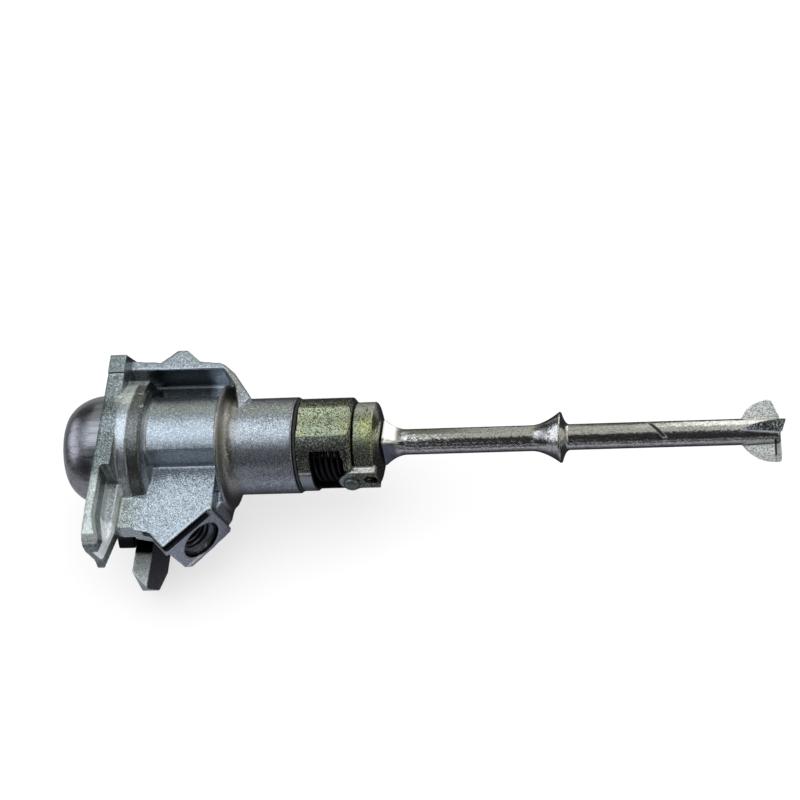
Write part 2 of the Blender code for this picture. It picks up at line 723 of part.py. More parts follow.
def lug_shape():
    """A block on the disc's near side with a rounded nose that reaches through the sleeve's notch."""
    x0, x1 = cam_start, cam_end
    top, bottom = LUG_TOP, LUG_BOTTOM
    outline = [(x1 + 0.7, bottom), (x1 + 0.7, top - 0.8), (x1, top), (x0 - 0.6, top)]
    centre_z, reach = (top + bottom) / 2, (top - bottom) / 2
    for k in range(1, 8):
        angle = math.pi * k / 8
        outline.append((x0 - 0.6 - (LUG_NOSE - 0.6) * math.sin(angle), centre_z + reach * math.cos(angle)))
    outline.append((x0 - 0.6, bottom))
    return prism(outline, -LUG_FACE_Y, -LUG_ROOT_Y, "y")


def square_bar(start, end, half_diagonal):
    """A square bar whose corners point along the rod's four wings."""
    turns = [TILT + k * math.pi / 2 for k in range(4)]
    corners = [(-half_diagonal * math.sin(a), half_diagonal * math.cos(a)) for a in turns]
    return prism(corners, start, end, "x")


def make_cross_pin():
    """A headed pin through the cam's lug and spigot onto the plug's tail."""
    head_y = -LUG_FACE_Y - 0.4
    end_y = -LUG_FACE_Y + PIN_REACH
    shaft = crosswise(lug_pin_x, PIN_Z, head_y + 0.2, end_y, PIN_SHANK_R, 12)
    shank = finish_mesh("cross_pin", shaft, spring_steel())
    join(shank, crosswise(lug_pin_x, PIN_Z, head_y, head_y + PIN_HEAD_THICK, PIN_HEAD_R))
    return shank


def rod_ring(bm, x, half_diagonal, squareness, segments):
    """One ring of the rod: round where squareness is 0, square with rounded corners where it is 1."""
    ring = []
    for k in range(segments):
        angle = 2 * math.pi * k / segments
        folded = (angle + math.pi / 4) % (math.pi / 2) - math.pi / 4
        flat = half_diagonal * math.cos(math.pi / 4) / math.cos(abs(folded) - math.pi / 4)
        radius = half_diagonal * (1 - squareness) + flat * squareness
        turn = angle + TILT
        ring.append(bm.verts.new((x, -radius * math.sin(turn), radius * math.cos(turn))))
    return ring


def make_rod():
    """The forged rod: square tenon and flared root, round shank, a collar and four coined wings."""
    segments = 24
    root_x = root_start
    neck_x = root_x + 0.5
    flare_x = ROD_COLLAR_X - COLLAR_FLARE
    stations = [(root_x, ROOT_HALF_DIAGONAL, 1.0), (neck_x, ROOT_HALF_DIAGONAL, 1.0)]
    for k in range(1, 6):
        t = k / 5
        radius = ROD_R + (ROOT_HALF_DIAGONAL - ROD_R) * (1 - t) ** 2
        stations.append((neck_x + (ROOT_LENGTH - 0.5) * t, radius, 1.0 - t ** 1.5))
    stations.append((flare_x, ROD_R, 0.0))
    for k in range(1, 7):
        t = k / 6
        radius = ROD_R + (ROD_COLLAR_R - ROD_R - 0.15) * t ** 1.7
        stations.append((flare_x + (COLLAR_FLARE - 0.4) * t, radius, 0.0))
    stations += [(ROD_COLLAR_X, ROD_COLLAR_R, 0.0), (ROD_COLLAR_X + 0.6, ROD_COLLAR_R - 0.5, 0.0),
                 (ROD_COLLAR_X + 1.2, ROD_R + 0.9, 0.0), (ROD_COLLAR_X + 2.1, ROD_R, 0.0),
                 (ROD_END_X - 0.4, ROD_R, 0.0), (ROD_END_X, ROD_R - 0.4, 0.0)]
    bm = bmesh.new()
    rings = [rod_ring(bm, x, radius, squareness, segments) for x, radius, squareness in stations]
    for one, two in zip(rings, rings[1:]):
        for k in range(segments):
            nxt = (k + 1) % segments
            bm.faces.new((one[k], one[nxt], two[nxt], two[k]))
    bm.faces.new(rings[0])
    bm.faces.new(rings[-1])
    body = finish_mesh("rod", bm, bright_steel())
    join(body, square_bar(tail_end + 2 * GAP, root_x + 1, TENON_HALF_DIAGONAL))
    for k in range(2):
        join(body, wing_pair(k))
    return body


def wing_pair(number):
    """Two opposite wings in one plate through the rod."""
    start, end = WING_START_X, ROD_END_X - 1.0
    upper = [(start, ROD_R - 0.7), (start + 1.9, ROD_R + 2.3), (start + 4.6, WING_R - 0.3),
             (start + 6.6, WING_R), (start + 7.2, WING_R - 0.5), (end, ROD_R + 0.6)]
    outline = upper + [(x, -z) for x, z in reversed(upper)]
    bm = prism(outline, -WING_THICK / 2, WING_THICK / 2, "y")
    turn = WING_TURN + number * math.pi / 2
    bmesh.ops.transform(bm, matrix=Matrix.Rotation(turn, 4, "X"), verts=bm.verts)
    return bm


def make_thrust_washer():
    x = HOUSING_END + GAP
    return finish_mesh("thrust_washer", tube(x, x + WASHER_THICK, TAIL_R + RUN, washer_r, 36), brass())


def main():
    clear_scene()
    make_housing()
    make_face_cap()
    make_cap_gasket()
    plug = make_plug()
    sleeve = make_slip_sleeve()
    joint_empty("lock_turn", (0, 0, 0), [plug, sleeve])
    make_shutter()
    make_shutter_pin()
    make_shutter_spring()
    for number in range(WAFER_COUNT):
        make_wafer(number)
        make_wafer_spring(number)
    make_tail_clip()
    make_thrust_washer()
    make_seam_ring()
    driver = [make_driver_sleeve(), make_cam(), make_cross_pin(), make_rod()]
    joint_empty("driver_turn", (driver_start, 0, 0), driver)
    make_return_spring()


main()
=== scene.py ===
# %% [markdown]
# # A door lock cylinder, dressed
#
# The solids of this lock come ready made, in metres, with their joints. Here
# they get what a camera sees: rounded cast edges, a threaded screw hole, a
# forged rod, brushed and plated metal.

# %% Load the frame
import json
import math

import bmesh
import bpy
from mathutils import Matrix, Vector


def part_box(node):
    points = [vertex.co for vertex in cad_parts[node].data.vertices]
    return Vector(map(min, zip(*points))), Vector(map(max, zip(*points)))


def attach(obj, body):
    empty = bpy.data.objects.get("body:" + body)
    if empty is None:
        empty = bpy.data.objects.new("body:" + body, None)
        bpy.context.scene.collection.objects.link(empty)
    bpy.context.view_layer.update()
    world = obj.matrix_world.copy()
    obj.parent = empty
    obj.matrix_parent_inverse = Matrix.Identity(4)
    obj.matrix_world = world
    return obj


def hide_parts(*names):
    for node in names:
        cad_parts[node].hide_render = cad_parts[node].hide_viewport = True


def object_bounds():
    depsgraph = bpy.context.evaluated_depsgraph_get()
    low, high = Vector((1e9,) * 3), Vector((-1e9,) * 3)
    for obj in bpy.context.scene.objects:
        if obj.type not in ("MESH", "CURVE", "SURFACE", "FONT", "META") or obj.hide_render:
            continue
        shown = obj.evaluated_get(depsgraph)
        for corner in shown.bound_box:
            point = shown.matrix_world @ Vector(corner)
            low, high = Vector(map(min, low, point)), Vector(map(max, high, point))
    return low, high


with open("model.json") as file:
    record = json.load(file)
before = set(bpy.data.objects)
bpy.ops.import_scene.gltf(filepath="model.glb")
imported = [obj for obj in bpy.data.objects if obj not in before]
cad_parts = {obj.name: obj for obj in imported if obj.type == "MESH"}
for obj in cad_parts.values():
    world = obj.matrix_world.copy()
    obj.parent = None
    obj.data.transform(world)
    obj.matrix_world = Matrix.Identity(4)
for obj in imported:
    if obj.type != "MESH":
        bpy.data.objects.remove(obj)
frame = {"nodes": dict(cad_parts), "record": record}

cad_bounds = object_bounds()
nodes = frame["nodes"]
MM = 0.001

# %% [markdown]
# ## Camera
# The photograph was taken from above and a little to the rear of the lock, with a
# mild telephoto. A camera could aim at a target, but then its roll would be a guess.
# The place and the three angles below were solved from edges that are parallel
# on the part, so they are simply set.

# %% Camera
CAMERA_PLACE = (0.15231, -0.26380, 0.40960)
CAMERA_ANGLES = (34.149, 9.199, 3.904)
CAMERA_LENS = 90.63

camera_data = bpy.data.cameras.new("photo_camera")
camera_data.lens = CAMERA_LENS
camera_data.sensor_width = 36.0
camera_data.clip_start = 0.01
camera = bpy.data.objects.new("photo_camera", camera_data)
camera.location = CAMERA_PLACE
camera.rotation_euler = [math.radians(a) for a in CAMERA_ANGLES]
bpy.context.scene.collection.objects.link(camera)
bpy.context.scene.camera = camera
print("camera lens", camera_data.lens)

# %% [markdown]
# ## Shader maths that reads like Python
# A node graph is a formula drawn with boxes. Drawing it in code, node by node, hides
# the formula again. So one small class wraps an output socket and answers `+ - *`
# by adding the Math node for it. Numbers on the left need the reflected forms:
# `1 - mask` calls `__rsub__` of the mask.

# %% Socket wrapper
class Value:
    """A number that changes over the surface: the output socket of a node."""

    def __init__(self, finish, socket):
        self.finish = finish
        self.socket = socket

    def math(self, operation, other=None, swap=False):
        values = [self, other] if other is not None else [self]
        if swap:
            values.reverse()
        return self.finish.add("ShaderNodeMath", {"operation": operation}, dict(enumerate(values)))

    def __add__(self, other):
        return self.math("ADD", other)

    def __sub__(self, other):
        return self.math("SUBTRACT", other)

    def __rsub__(self, other):
        return self.math("SUBTRACT", other, swap=True)

    def __mul__(self, other):
        return self.math("MULTIPLY", other)

    __radd__ = __add__
    __rmul__ = __mul__


# %% [markdown]
# ## One method for every other node
# `add` takes the node's type, its settings and its inputs. The settings go first,
# because a Mix node, for one, only shows its colour sockets once it is told to mix colours.

# %% Finish builder
class Finish:
    """A material under construction."""

    def __init__(self, name):
        self.material = bpy.data.materials.new(name)
        self.material.use_nodes = True
        self.tree = self.material.node_tree
        self.tree.nodes.clear()

    def add(self, kind, settings=None, inputs=None, output=0):
        node = self.tree.nodes.new(kind)
        for key, value in (settings or {}).items():
            setattr(node, key, value)
        for key, value in (inputs or {}).items():
            socket = find_socket(node.inputs, key)
            if isinstance(value, Value):
                self.tree.links.new(value.socket, socket)
            else:
                socket.default_value = value
        return Value(self, find_socket(node.outputs, output)) if node.outputs else None


def find_socket(sockets, key):
    """A socket by its number, or by the identifier that stays unique, or by its shown name."""
    if isinstance(key, int):
        return sockets[key]
    for socket in sockets:
        if socket.identifier == key:
            return socket
    return sockets[key]


# %% [markdown]
# ## Small vocabulary
# Four words cover most of what the finishes below say: where a point is in
# millimetres, a noise of a given grain size, a soft step, and a blend of two colours.
# Object coordinates are used, because they stay on the metal when a piece turns.

# %% Vocabulary
def vector_math(finish, operation, *inputs, output=0, **named):
    return finish.add("ShaderNodeVectorMath", {"operation": operation}, {**dict(enumerate(inputs)), **named}, output)


def place_mm(finish):
    """The point on the surface, in millimetres of the part's frame."""
    coords = finish.add("ShaderNodeTexCoord", output="Object")
    return vector_math(finish, "SCALE", coords, Scale=1.0 / MM)


def stretched(finish, vector, x, y, z):
    return vector_math(finish, "MULTIPLY", vector, (x, y, z))


def noise(finish, vector, grain_mm, detail=2.0, rough=0.5):
    return finish.add("ShaderNodeTexNoise", None,
                      {"Vector": vector, "Scale": 1.0 / grain_mm, "Detail": detail, "Roughness": rough})


def facets(finish, vector, grain_mm):
    """A random vector for each crystal of the metal, between -0.5 and 0.5."""
    cells = finish.add("ShaderNodeTexVoronoi", None, {"Vector": vector, "Scale": 1.0 / grain_mm}, output="Color")
    return vector_math(finish, "SUBTRACT", cells, (0.5, 0.5, 0.5))


def soft_step(finish, value, low, high):
    """0 below low, 1 above high and a smooth rise between; turned round if low is above high."""
    return finish.add("ShaderNodeMapRange", {"interpolation_type": "SMOOTHSTEP"},
                      {"Value": value, "From Min": low, "From Max": high})


def blend(finish, low, high, factor):
    """Two colours mixed by a factor."""
    return finish.add("ShaderNodeMix", {"data_type": "RGBA"},
                      {"Factor_Float": factor, "A_Color": colour(low), "B_Color": colour(high)}, output="Result_Color")


def colour(value):
    return value if isinstance(value, Value) or len(value) == 4 else (*value, 1.0)


def axes(finish, vector):
    return [finish.add("ShaderNodeSeparateXYZ", None, {0: vector}, output=k) for k in range(3)]


def bump(finish, height, strength, distance_mm):
    return finish.add("ShaderNodeBump", None, {"Height": height, "Strength": strength, "Distance": distance_mm * MM})


def tilted(finish, vector, amount, normal):
    """The normal, leaning a little its own way on each crystal."""
    lean = vector_math(finish, "SCALE", vector, Scale=amount)
    return vector_math(finish, "NORMALIZE", vector_math(finish, "ADD", normal, lean))


def surface(finish, **inputs):
    """Ends the material in a Principled BSDF and returns it."""
    names = {key.replace("_", " ").title(): value for key, value in inputs.items()}
    shader = finish.add("ShaderNodeBsdfPrincipled", None, names)
    finish.add("ShaderNodeOutputMaterial", None, {"Surface": shader})
    print("finish", finish.material.name, "with", len(finish.tree.nodes), "nodes")
    return finish.material


# %% [markdown]
# ## Places on a finish
# A finish changes from place to place: the casting is painted greener at the flange, and it is
# painted black in a hollow as painted shade. A painted map would need unwrapped faces, but a place
# on this lock is easy to say in millimetres, so each place is a short row of limits. (coordinate,
# from, to) is a soft step that rises from the first number to the second, whichever is larger,
# and a fourth number makes it a band whose edges are that soft. The mask is 1 where all the
# limits hold.

# %% Places and coats
def between(finish, value, low, high, soft):
    """1 between low and high, with an edge that is soft wide."""
    return soft_step(finish, value, low - soft, low) * soft_step(finish, value, high + soft, high)


def places(finish, coordinates, table, within=None):
    """A mask for each named row of limits; within says which places lie inside which others."""
    masks = {}
    for name, limits in table.items():
        for axis, *limit in limits:
            step = between if len(limit) == 3 else soft_step
            part = step(finish, coordinates[axis], *limit)
            masks[name] = masks[name] * part if name in masks else part
    for name, whole in (within or {}).items():
        masks[name] = masks[name] * masks[whole]
    return masks


def weighted(masks, shares):
    """The sum of some masks, each times its share."""
    return sum(masks[name] * share for name, share in shares.items())


def any_of(masks, *names):
    return weighted(masks, dict.fromkeys(names, 1.0)).math("MINIMUM", 1.0)


def coated(finish, base, masks, coats):
    """The base colour under one coat after another, each (place, colour, share)."""
    for name, tone, share in coats:
        base = blend(finish, base, tone, masks[name] * share)
    return base


# %% [markdown]
# ## The screw hole's place
# The sink round the screw hole is darker than the boss, and it lies on a slant. So two more
# coordinates are worked out for it: how deep a point lies in the hole, and how far from the
# hole's axis. Axis and mouth come from the record's mount and opening, not from a guess.

# %% The screw hole's place
opening = frame["record"]["physics"]["openings"][0]["box_m"]
hole_mount = next(mount for mount in frame["record"]["mounts"] if mount["name"] == "boss_face")
hole_axis = -Vector(hole_mount["axis"]).normalized()
hole_centre = (Vector(opening[0]) + Vector(opening[1])) / 2
hole_mouth = hole_centre + hole_axis * (Vector(hole_mount["pos_m"]) - hole_centre).dot(hole_axis)
print("hole mouth at", [round(v / MM, 2) for v in hole_mouth])


def about_hole(finish, place):
    """How deep a point lies in the screw hole, and how far from the hole's axis, in millimetres."""
    away = vector_math(finish, "SUBTRACT", place, hole_mouth / MM)
    depth = vector_math(finish, "DOT_PRODUCT", away, hole_axis, output="Value")
    reach = vector_math(finish, "LENGTH", away, output="Value")
    return depth, (reach * reach - depth * depth).math("MAXIMUM", 0.0).math("SQRT")


# %% [markdown]
# ## Die-cast zinc
# The casting is tumbled and passivated: a cool blue-grey metal whose surface is a mat of
# tiny flat spots. Each spot leans its own way and flashes or goes dark, which is what the
# eye reads as sparkle. A plain noise bump gives ripples instead, so the normal is tilted
# once for every Voronoi cell, and the cell's own numbers also make it paler or darker.
# Round the flange it is painted greener, and behind the shoulder browner. Much of the rest is
# painted light and shade. The web's top is painted paler; the web's front, the ledge, the
# collar's top, the leg's top and a strip on the flange are painted paler and a little dull, as
# painted light; the collar's front and the ledge and its end get painted highlights, and the
# rubbed edges are paler, partly wear and partly a painted highlight. The flange's lower part, the
# ledge wall, a dark band on the collar, the pocket by the rail, the hollows, the leg's side, the
# undercut below the web and the sink's upper rim are painted shade.

# %% Places and colours of the casting
SINK_R = 5.15
ZINC_PLACES = {
    "turned": (("radius", 16.9, 16.5),),
    "flange": (("ragged_x", 1.4, -1.2), ("x", -9.0, -4.5)),
    # painted shade on the flange's lower part
    "flange_low_shade": (("y", 7.5, 3.0),),
    "strip": (("y", -15.0, -19.0), ("z", 12.8, 13.6)),
    # the dark band on the collar is painted shade
    "collar": (("x", 3.0, 6.3, 0.3), ("radius", 14.6, 15.2)),
    # painted highlight on the collar's front
    "collar_front_highlight": (("x", 0.3, 2.9, 0.3), ("radius", 14.0, 14.6), ("y", 3.0, -1.0)),
    "collar_top": (("x", -1.0, 2.9, 0.4), ("y", 1.0, 5.0)),
    "behind": (("ragged_x", 25.6, 28.5, 2.2),),
    "rear": (("ragged_x", 27.0, 33.0),),
    "web": (("z", 3.0, 4.2, 0.3), ("y", -12.6, -13.4)),
    "web_front": (("ragged_x", 7.0, 3.0),),
    "ledge": (("x", -2.3, 0.6, 0.3), ("z", 4.4, 9.6, 0.4), ("y", -14.0, -16.0)),
    "ledge_end": (("y", -24.5, -25.5),),
    "ledge_wall_shade": (("x", -2.5, -1.7, 0.2), ("z", 9.6, 13.4, 0.4), ("y", -14.0, -16.0)),
    # painted shade in the pocket between the rail and the barrel
    "pocket_shade": (("y", 8.6, 16.8, 0.5), ("z", 11.1, 10.5), ("x", 7.0, 18.5, 3.0), ("radius", 13.0, 13.5)),
    "hollow": (("x", 8.0, 7.0), ("z", 1.9, 1.2), ("y", -23.8, -16.0, 0.8)),
    "leg_side": (("z", -9.6, -10.5), ("y", -12.0, -15.0), ("facing_x", 0.5, 0.8), ("x", 7.0, 6.0)),
    "leg_top": (("z", -10.0, -9.2, 0.2), ("y", -24.0, -25.5)),
    "below_web": (("z", 1.6, 3.25, 0.12), ("y", -20.0, -21.0), ("x", 6.0, 7.0)),
    "sink": (("hole_r", SINK_R + 0.2, SINK_R), ("hole_depth", 0.06, 9.0, 0.1)),
    "sink_line": (("hole_r", SINK_R - 0.16, SINK_R + 0.02, 0.1), ("hole_depth", -0.4, 0.8, 0.2),
                  ("z", hole_mouth.z / MM + 1.0, hole_mouth.z / MM - 1.0)),
    "flashing": (("spot_a", 0.14, 0.40),),
    "dark_spot": (("spot_b", 0.16, 0.42),),
    # rubbed edges: partly wear, partly a painted highlight along the edges
    "worn_edge_highlight": (("pointiness", 0.54, 0.60),),
}
ZINC_WITHIN = {"flange_low_shade": "flange", "strip": "flange", "collar": "turned", "collar_front_highlight": "turned",
               "collar_top": "turned", "web_front": "web", "ledge_end": "ledge"}
ZINC_COOL = (0.50, 0.55, 0.60)
ZINC_CREAM_PAINTED_LIGHT = (0.57, 0.62, 0.585)
ZINC_CRYSTAL_FLASH_AND_HIGHLIGHT = (0.92, 0.97, 1.0)
ZINC_SHADE = (0.21, 0.245, 0.235)
# Painted light and shade: the web's top, the cream coat and the flange strip are painted light; the collar's front,
# the ledge's pale coat and the edge coat add painted highlights; the flange's lower part, the ledge wall, the dark
# collar band, the pocket and the black coat are painted shade.
ZINC_COATS = (
    ("flange", (0.31, 0.355, 0.34), 1.0), ("web", (0.56, 0.62, 0.68), 1.0), ("painted_light", ZINC_CREAM_PAINTED_LIGHT, 1.0),
    ("flange_low_shade", ZINC_SHADE, 1.0), ("strip", ZINC_CREAM_PAINTED_LIGHT, 1.0), ("ledge_wall_shade", ZINC_SHADE, 0.3),
    ("collar_front_highlight", ZINC_CRYSTAL_FLASH_AND_HIGHLIGHT, 0.5), ("ledge_highlight", ZINC_CRYSTAL_FLASH_AND_HIGHLIGHT, 1.0), ("collar", (0.12, 0.12, 0.10), 0.85),
    ("behind", (0.42, 0.39, 0.33), 0.8), ("rear", (0.47, 0.50, 0.53), 0.8),
    ("flashing", ZINC_CRYSTAL_FLASH_AND_HIGHLIGHT, 0.65), ("dark_spot", (0.13, 0.15, 0.16), 1.0), ("worn_edge_highlight", ZINC_CRYSTAL_FLASH_AND_HIGHLIGHT, 0.6),
    ("pocket_shade", (0.055, 0.065, 0.07), 0.85), ("sink", (0.20, 0.205, 0.23), 1.0), ("black", (0.013, 0.015, 0.017), 1.0))
LEDGE_HIGHLIGHT = {"ledge": 0.3, "ledge_end": 0.4}
SPARKLE = {"behind": -0.5, "collar": -0.62, "rear": 0.35, "flange": -0.3}
DULL = {"ledge": 0.42, "ledge_end": 0.28, "strip": 0.2, "collar_top": 0.36, "web_front": 0.08, "leg_top": 0.30}
print("places on the casting:", len(ZINC_PLACES))

# %% Cast zinc
ZINC_CRYSTAL_MM = 0.21
ZINC_GRAIN_MM = 0.30
RAGGED_MM, RAGGED_GRAIN_MM = 3.0, 6.0


def cast_zinc():
    finish = Finish("cast_zinc")
    place = place_mm(finish)
    x, y, z = axes(finish, place)
    crystals = facets(finish, place, ZINC_CRYSTAL_MM)
    spot_a, spot_b, _ = axes(finish, crystals)
    hole_depth, hole_r = about_hole(finish, place)
    on = places(finish, {
        "x": x, "y": y, "z": z, "radius": (y * y + z * z).math("SQRT"),
        "ragged_x": x + RAGGED_MM * (noise(finish, place, RAGGED_GRAIN_MM, detail=3.0) - 0.5),
        "facing_x": axes(finish, finish.add("ShaderNodeTexCoord", output="Normal"))[0],
        "pointiness": finish.add("ShaderNodeNewGeometry", output="Pointiness"),
        "hole_depth": hole_depth, "hole_r": hole_r, "spot_a": spot_a, "spot_b": spot_b}, ZINC_PLACES, ZINC_WITHIN)
    # Painted light: the web's front, the ledge, the collar's top and the leg's top are painted pale cream where light
    # falls on them.
    on["painted_light"] = any_of(on, "web_front", "ledge", "collar_top", "leg_top")
    # Painted highlight on the ledge, stronger at its end.
    on["ledge_highlight"] = weighted(on, LEDGE_HIGHLIGHT)
    on["flashing"] = on["flashing"] * (1 + weighted(on, SPARKLE))
    on["dark_spot"] = on["dark_spot"] * (0.5 + 0.25 * on["rear"])
    # Painted shade: black in the hollow, on the leg's side, under the web and along the sink's upper rim.
    on["black"] = any_of(on, "hollow", "leg_side", "below_web", "sink_line")
    grain = noise(finish, place, ZINC_GRAIN_MM, detail=3.0, rough=0.7)
    return surface(finish, base_color=coated(finish, ZINC_COOL, on, ZINC_COATS), metallic=1 - weighted(on, DULL),
                   roughness=0.20 + 0.22 * grain,
                   normal=tilted(finish, crystals, 0.20, bump(finish, grain, 0.35, 0.04)))


zinc = cast_zinc()

# %% [markdown]
# ## Dark brushed steel of the cap
# The cap is drawn from sheet and brushed along the lock's axis. Brushing is noise that is
# far longer one way than the other, so the coordinates are squeezed before the noise: far
# more across the axis than along it. A second, much coarser noise stains the steel.

# %% Dark brushed steel
BRUSH_LONG_MM = 7.0
BRUSH_WIDE_MM = 0.22
STREAK_SQUEEZE = (0.06, 0.8, 0.8)
CAP_DARK = (0.30, 0.30, 0.315)
CAP_PALE = (0.54, 0.54, 0.57)
CAP_STAIN = (0.14, 0.13, 0.13)


def brushed_cap():
    finish = Finish("dark_brushed_steel")
    place = place_mm(finish)
    squeezed = stretched(finish, place, 1.0 / BRUSH_LONG_MM, 1.0 / BRUSH_WIDE_MM, 1.0 / BRUSH_WIDE_MM)
    lines = noise(finish, squeezed, 1.0, detail=3.0, rough=0.6)
    streaks = noise(finish, stretched(finish, place, *STREAK_SQUEEZE), 1.0, detail=2.0)
    clouds = noise(finish, place, 4.0)
    base = blend(finish, CAP_DARK, CAP_PALE, soft_step(finish, lines, 0.30, 0.72))
    base = blend(finish, base, CAP_STAIN, soft_step(finish, streaks, 0.50, 0.72) * 0.6)
    return surface(finish, base_color=base, metallic=1.0, roughness=0.22 + 0.12 * clouds,
                   normal=bump(finish, lines, 0.5, 0.03))


cap_steel = brushed_cap()

# %% [markdown]
# ## Olive chromate
# Sleeve and cam carry a yellow chromate over a fine grain. In the shade they look nearly black,
# so the base is dark and the grain's colour sits in single crystals. The yellow-green where light
# strikes is painted on: a painted reflection with painted yellow clouds on the sleeve's flats and
# the cam's top, and a painted glint on the cam. The lug's ledge, the knuckle's side and worn spots
# on the cam's crown are painted pale, partly as painted light, and the inside of the sleeve is
# painted black as painted shade.

# %% Places and colours of the chromate
FLAT_FROM_Z = 10.5
CAM_FROM_X = 57.6
LUG_LEDGE_Z = 3.7
CHROMATE_PLACES = {
    "flat": (("height", FLAT_FROM_Z - 0.05, FLAT_FROM_Z + 0.15), ("x", CAM_FROM_X + 0.3, CAM_FROM_X - 1.0)),
    "cam_top": (("x", CAM_FROM_X - 0.1, CAM_FROM_X + 0.2), ("z", 4.5, 8.5)),
    "cam_glint": (("x", 60.2, 62.4, 0.9), ("y", -3.2, -0.2, 1.8), ("z", 8.0, 9.0)),
    "cam_crown": (("y", 1.0, 3.5),),
    "crown_worn_and_lit": (("spot_b", 0.30, 0.10),),
    "ledge": (("z", LUG_LEDGE_Z - 0.15, LUG_LEDGE_Z + 0.25, 0.2), ("y", -8.3, -8.9)),
    "knuckle_side_lit": (("y", -9.4, -10.0), ("x", 58.5, 57.0), ("z", 3.4, 2.6)),
    "inside": (("radius", 10.9, 10.4), ("x", CAM_FROM_X - 0.3, CAM_FROM_X - 0.8)),
    "clouded": (("clouds", 0.42, 0.66),),
    "flashing": (("spot_a", 0.08, 0.40),),
    "bluish": (("spot_c", 0.25, 0.45),),
    "dark_spot": (("spot_b", 0.08, 0.36),),
}
CHROMATE_WITHIN = {"cam_crown": "cam_top", "crown_worn_and_lit": "cam_crown"}
CHROMATE_DARK = (0.115, 0.12, 0.095)
CHROMATE_GREEN = (0.52, 0.58, 0.38)
CHROMATE_YELLOW = (0.66, 0.68, 0.24)
# Painted light and shade: the flats and the cam's top carry a painted yellow-green reflection, the cam a painted
# glint, the ledge, the knuckle's side and the crown's worn spots are painted pale as painted light, and the inside is
# painted black as painted shade.
CHROMATE_COATS = (
    ("flat", CHROMATE_GREEN, 1.0), ("cam_top", CHROMATE_GREEN, 0.8), ("clouded", CHROMATE_YELLOW, 0.5),
    ("cam_glint", CHROMATE_YELLOW, 0.8), ("flashing", (0.92, 0.95, 0.74), 0.8), ("bluish", (0.55, 0.60, 0.62), 0.5),
    ("dark_spot", (0.03, 0.03, 0.02), 0.85), ("ledge", (0.90, 0.90, 0.82), 0.95),
    ("knuckle_side_lit", (0.52, 0.57, 0.57), 0.9), ("crown_worn_and_lit", (0.78, 0.79, 0.76), 0.6),
    ("inside", (0.02, 0.02, 0.022), 0.9))
print("places on sleeve and cam:", len(CHROMATE_PLACES))

# %% Olive chromate
CHROMATE_CRYSTAL_MM = 0.20
CHROMATE_GRAIN_MM = 0.3
CLOUD_MM = 2.4


def olive_chromate():
    finish = Finish("olive_chromate")
    place = place_mm(finish)
    x, y, z = axes(finish, place)
    crystals = facets(finish, place, CHROMATE_CRYSTAL_MM)
    spot_a, spot_b, spot_c = axes(finish, crystals)
    on = places(finish, {
        "x": x, "y": y, "z": z, "height": z.math("ABSOLUTE"), "radius": (y * y + z * z).math("SQRT"),
        "clouds": noise(finish, place, CLOUD_MM, detail=3.0),
        "spot_a": spot_a, "spot_b": spot_b, "spot_c": spot_c}, CHROMATE_PLACES, CHROMATE_WITHIN)
    # Painted yellow clouds within the painted reflection on the flats and the cam's top.
    on["clouded"] = on["clouded"] * any_of(on, "flat", "cam_top")
    grain = noise(finish, place, CHROMATE_GRAIN_MM, detail=3.0, rough=0.7)
    return surface(finish, base_color=coated(finish, CHROMATE_DARK, on, CHROMATE_COATS),
                   metallic=1 - 0.2 * on["cam_crown"], roughness=0.22 + 0.2 * grain,
                   normal=tilted(finish, crystals, 0.34, bump(finish, grain, 0.4, 0.05)))


chromate = olive_chromate()

# %% [markdown]
# ## Bright plated rod
# The rod is forged, plated and only lightly polished, so it mirrors the room in long bands that
# break up into speckles. The wings are coined and left rough: the same plating, paler and pitted
# wherever the metal stands farther out than the shank. The wing that points at the camera gets a
# dark rim as a painted reflection, and the lower one a black fold as painted shade and a darker
# grey end; the wings' sharp edges are darker too. The foot's upper face is painted nearly white
# as a painted highlight, and its lower faces dark as painted shade. A black pen stroke crosses
# the rod; it is ink, so it turns the metal off as well as the colour.

# %% Places and colours of the plating
SHANK_R = 3.15
FOOT_END_X = 66.6
WINGS_FROM_X = 150.0
WING_LINE_X = 158.5
PLATING_PLACES = {
    "coined": (("x", WINGS_FROM_X, WINGS_FROM_X + 1.5), ("radius", SHANK_R + 0.1, SHANK_R + 0.6)),
    "grained": (("speckle", 0.35, 0.65),),
    "dark_spot": (("spot", 0.26, 0.42),),
    "pitted": (("pit", 0.20, 0.36),),
    "near_foot": (("x", FOOT_END_X + 1.2, FOOT_END_X),),
    "foot": (("facing_z", 0.60, 0.85), ("y", -1.9, -1.2)),
    "foot_low_shade": (("facing_z", 0.45, 0.30),),
    "rim": (("rim_facing", 0.45, 0.75), ("raised", SHANK_R, SHANK_R + 0.3)),
    "rim_dark_reflection": (("speckle", 0.62, 0.50),),
    "lower_wing": (("y", -1.2, -1.8), ("z", 1.6, 0.8), ("rim_facing", 0.3, 0.6)),
    "wing_end": (("x", WING_LINE_X, WING_LINE_X + 0.2),),
    "fold": (("x", WING_LINE_X - 0.25, WING_LINE_X + 0.1, 0.12),),
    "edges": (("pointiness", 0.55, 0.62),),
    "ink": (("stroke", 0.75, 0.45), ("z", 0.8, 1.6), ("across", 2.2, 1.7)),
}
PLATING_WITHIN = {"pitted": "coined", "foot": "near_foot", "foot_low_shade": "near_foot", "rim": "coined",
                  "rim_dark_reflection": "rim", "wing_end": "lower_wing", "fold": "lower_wing", "edges": "coined"}
PLATING_DARK = (0.62, 0.62, 0.57)
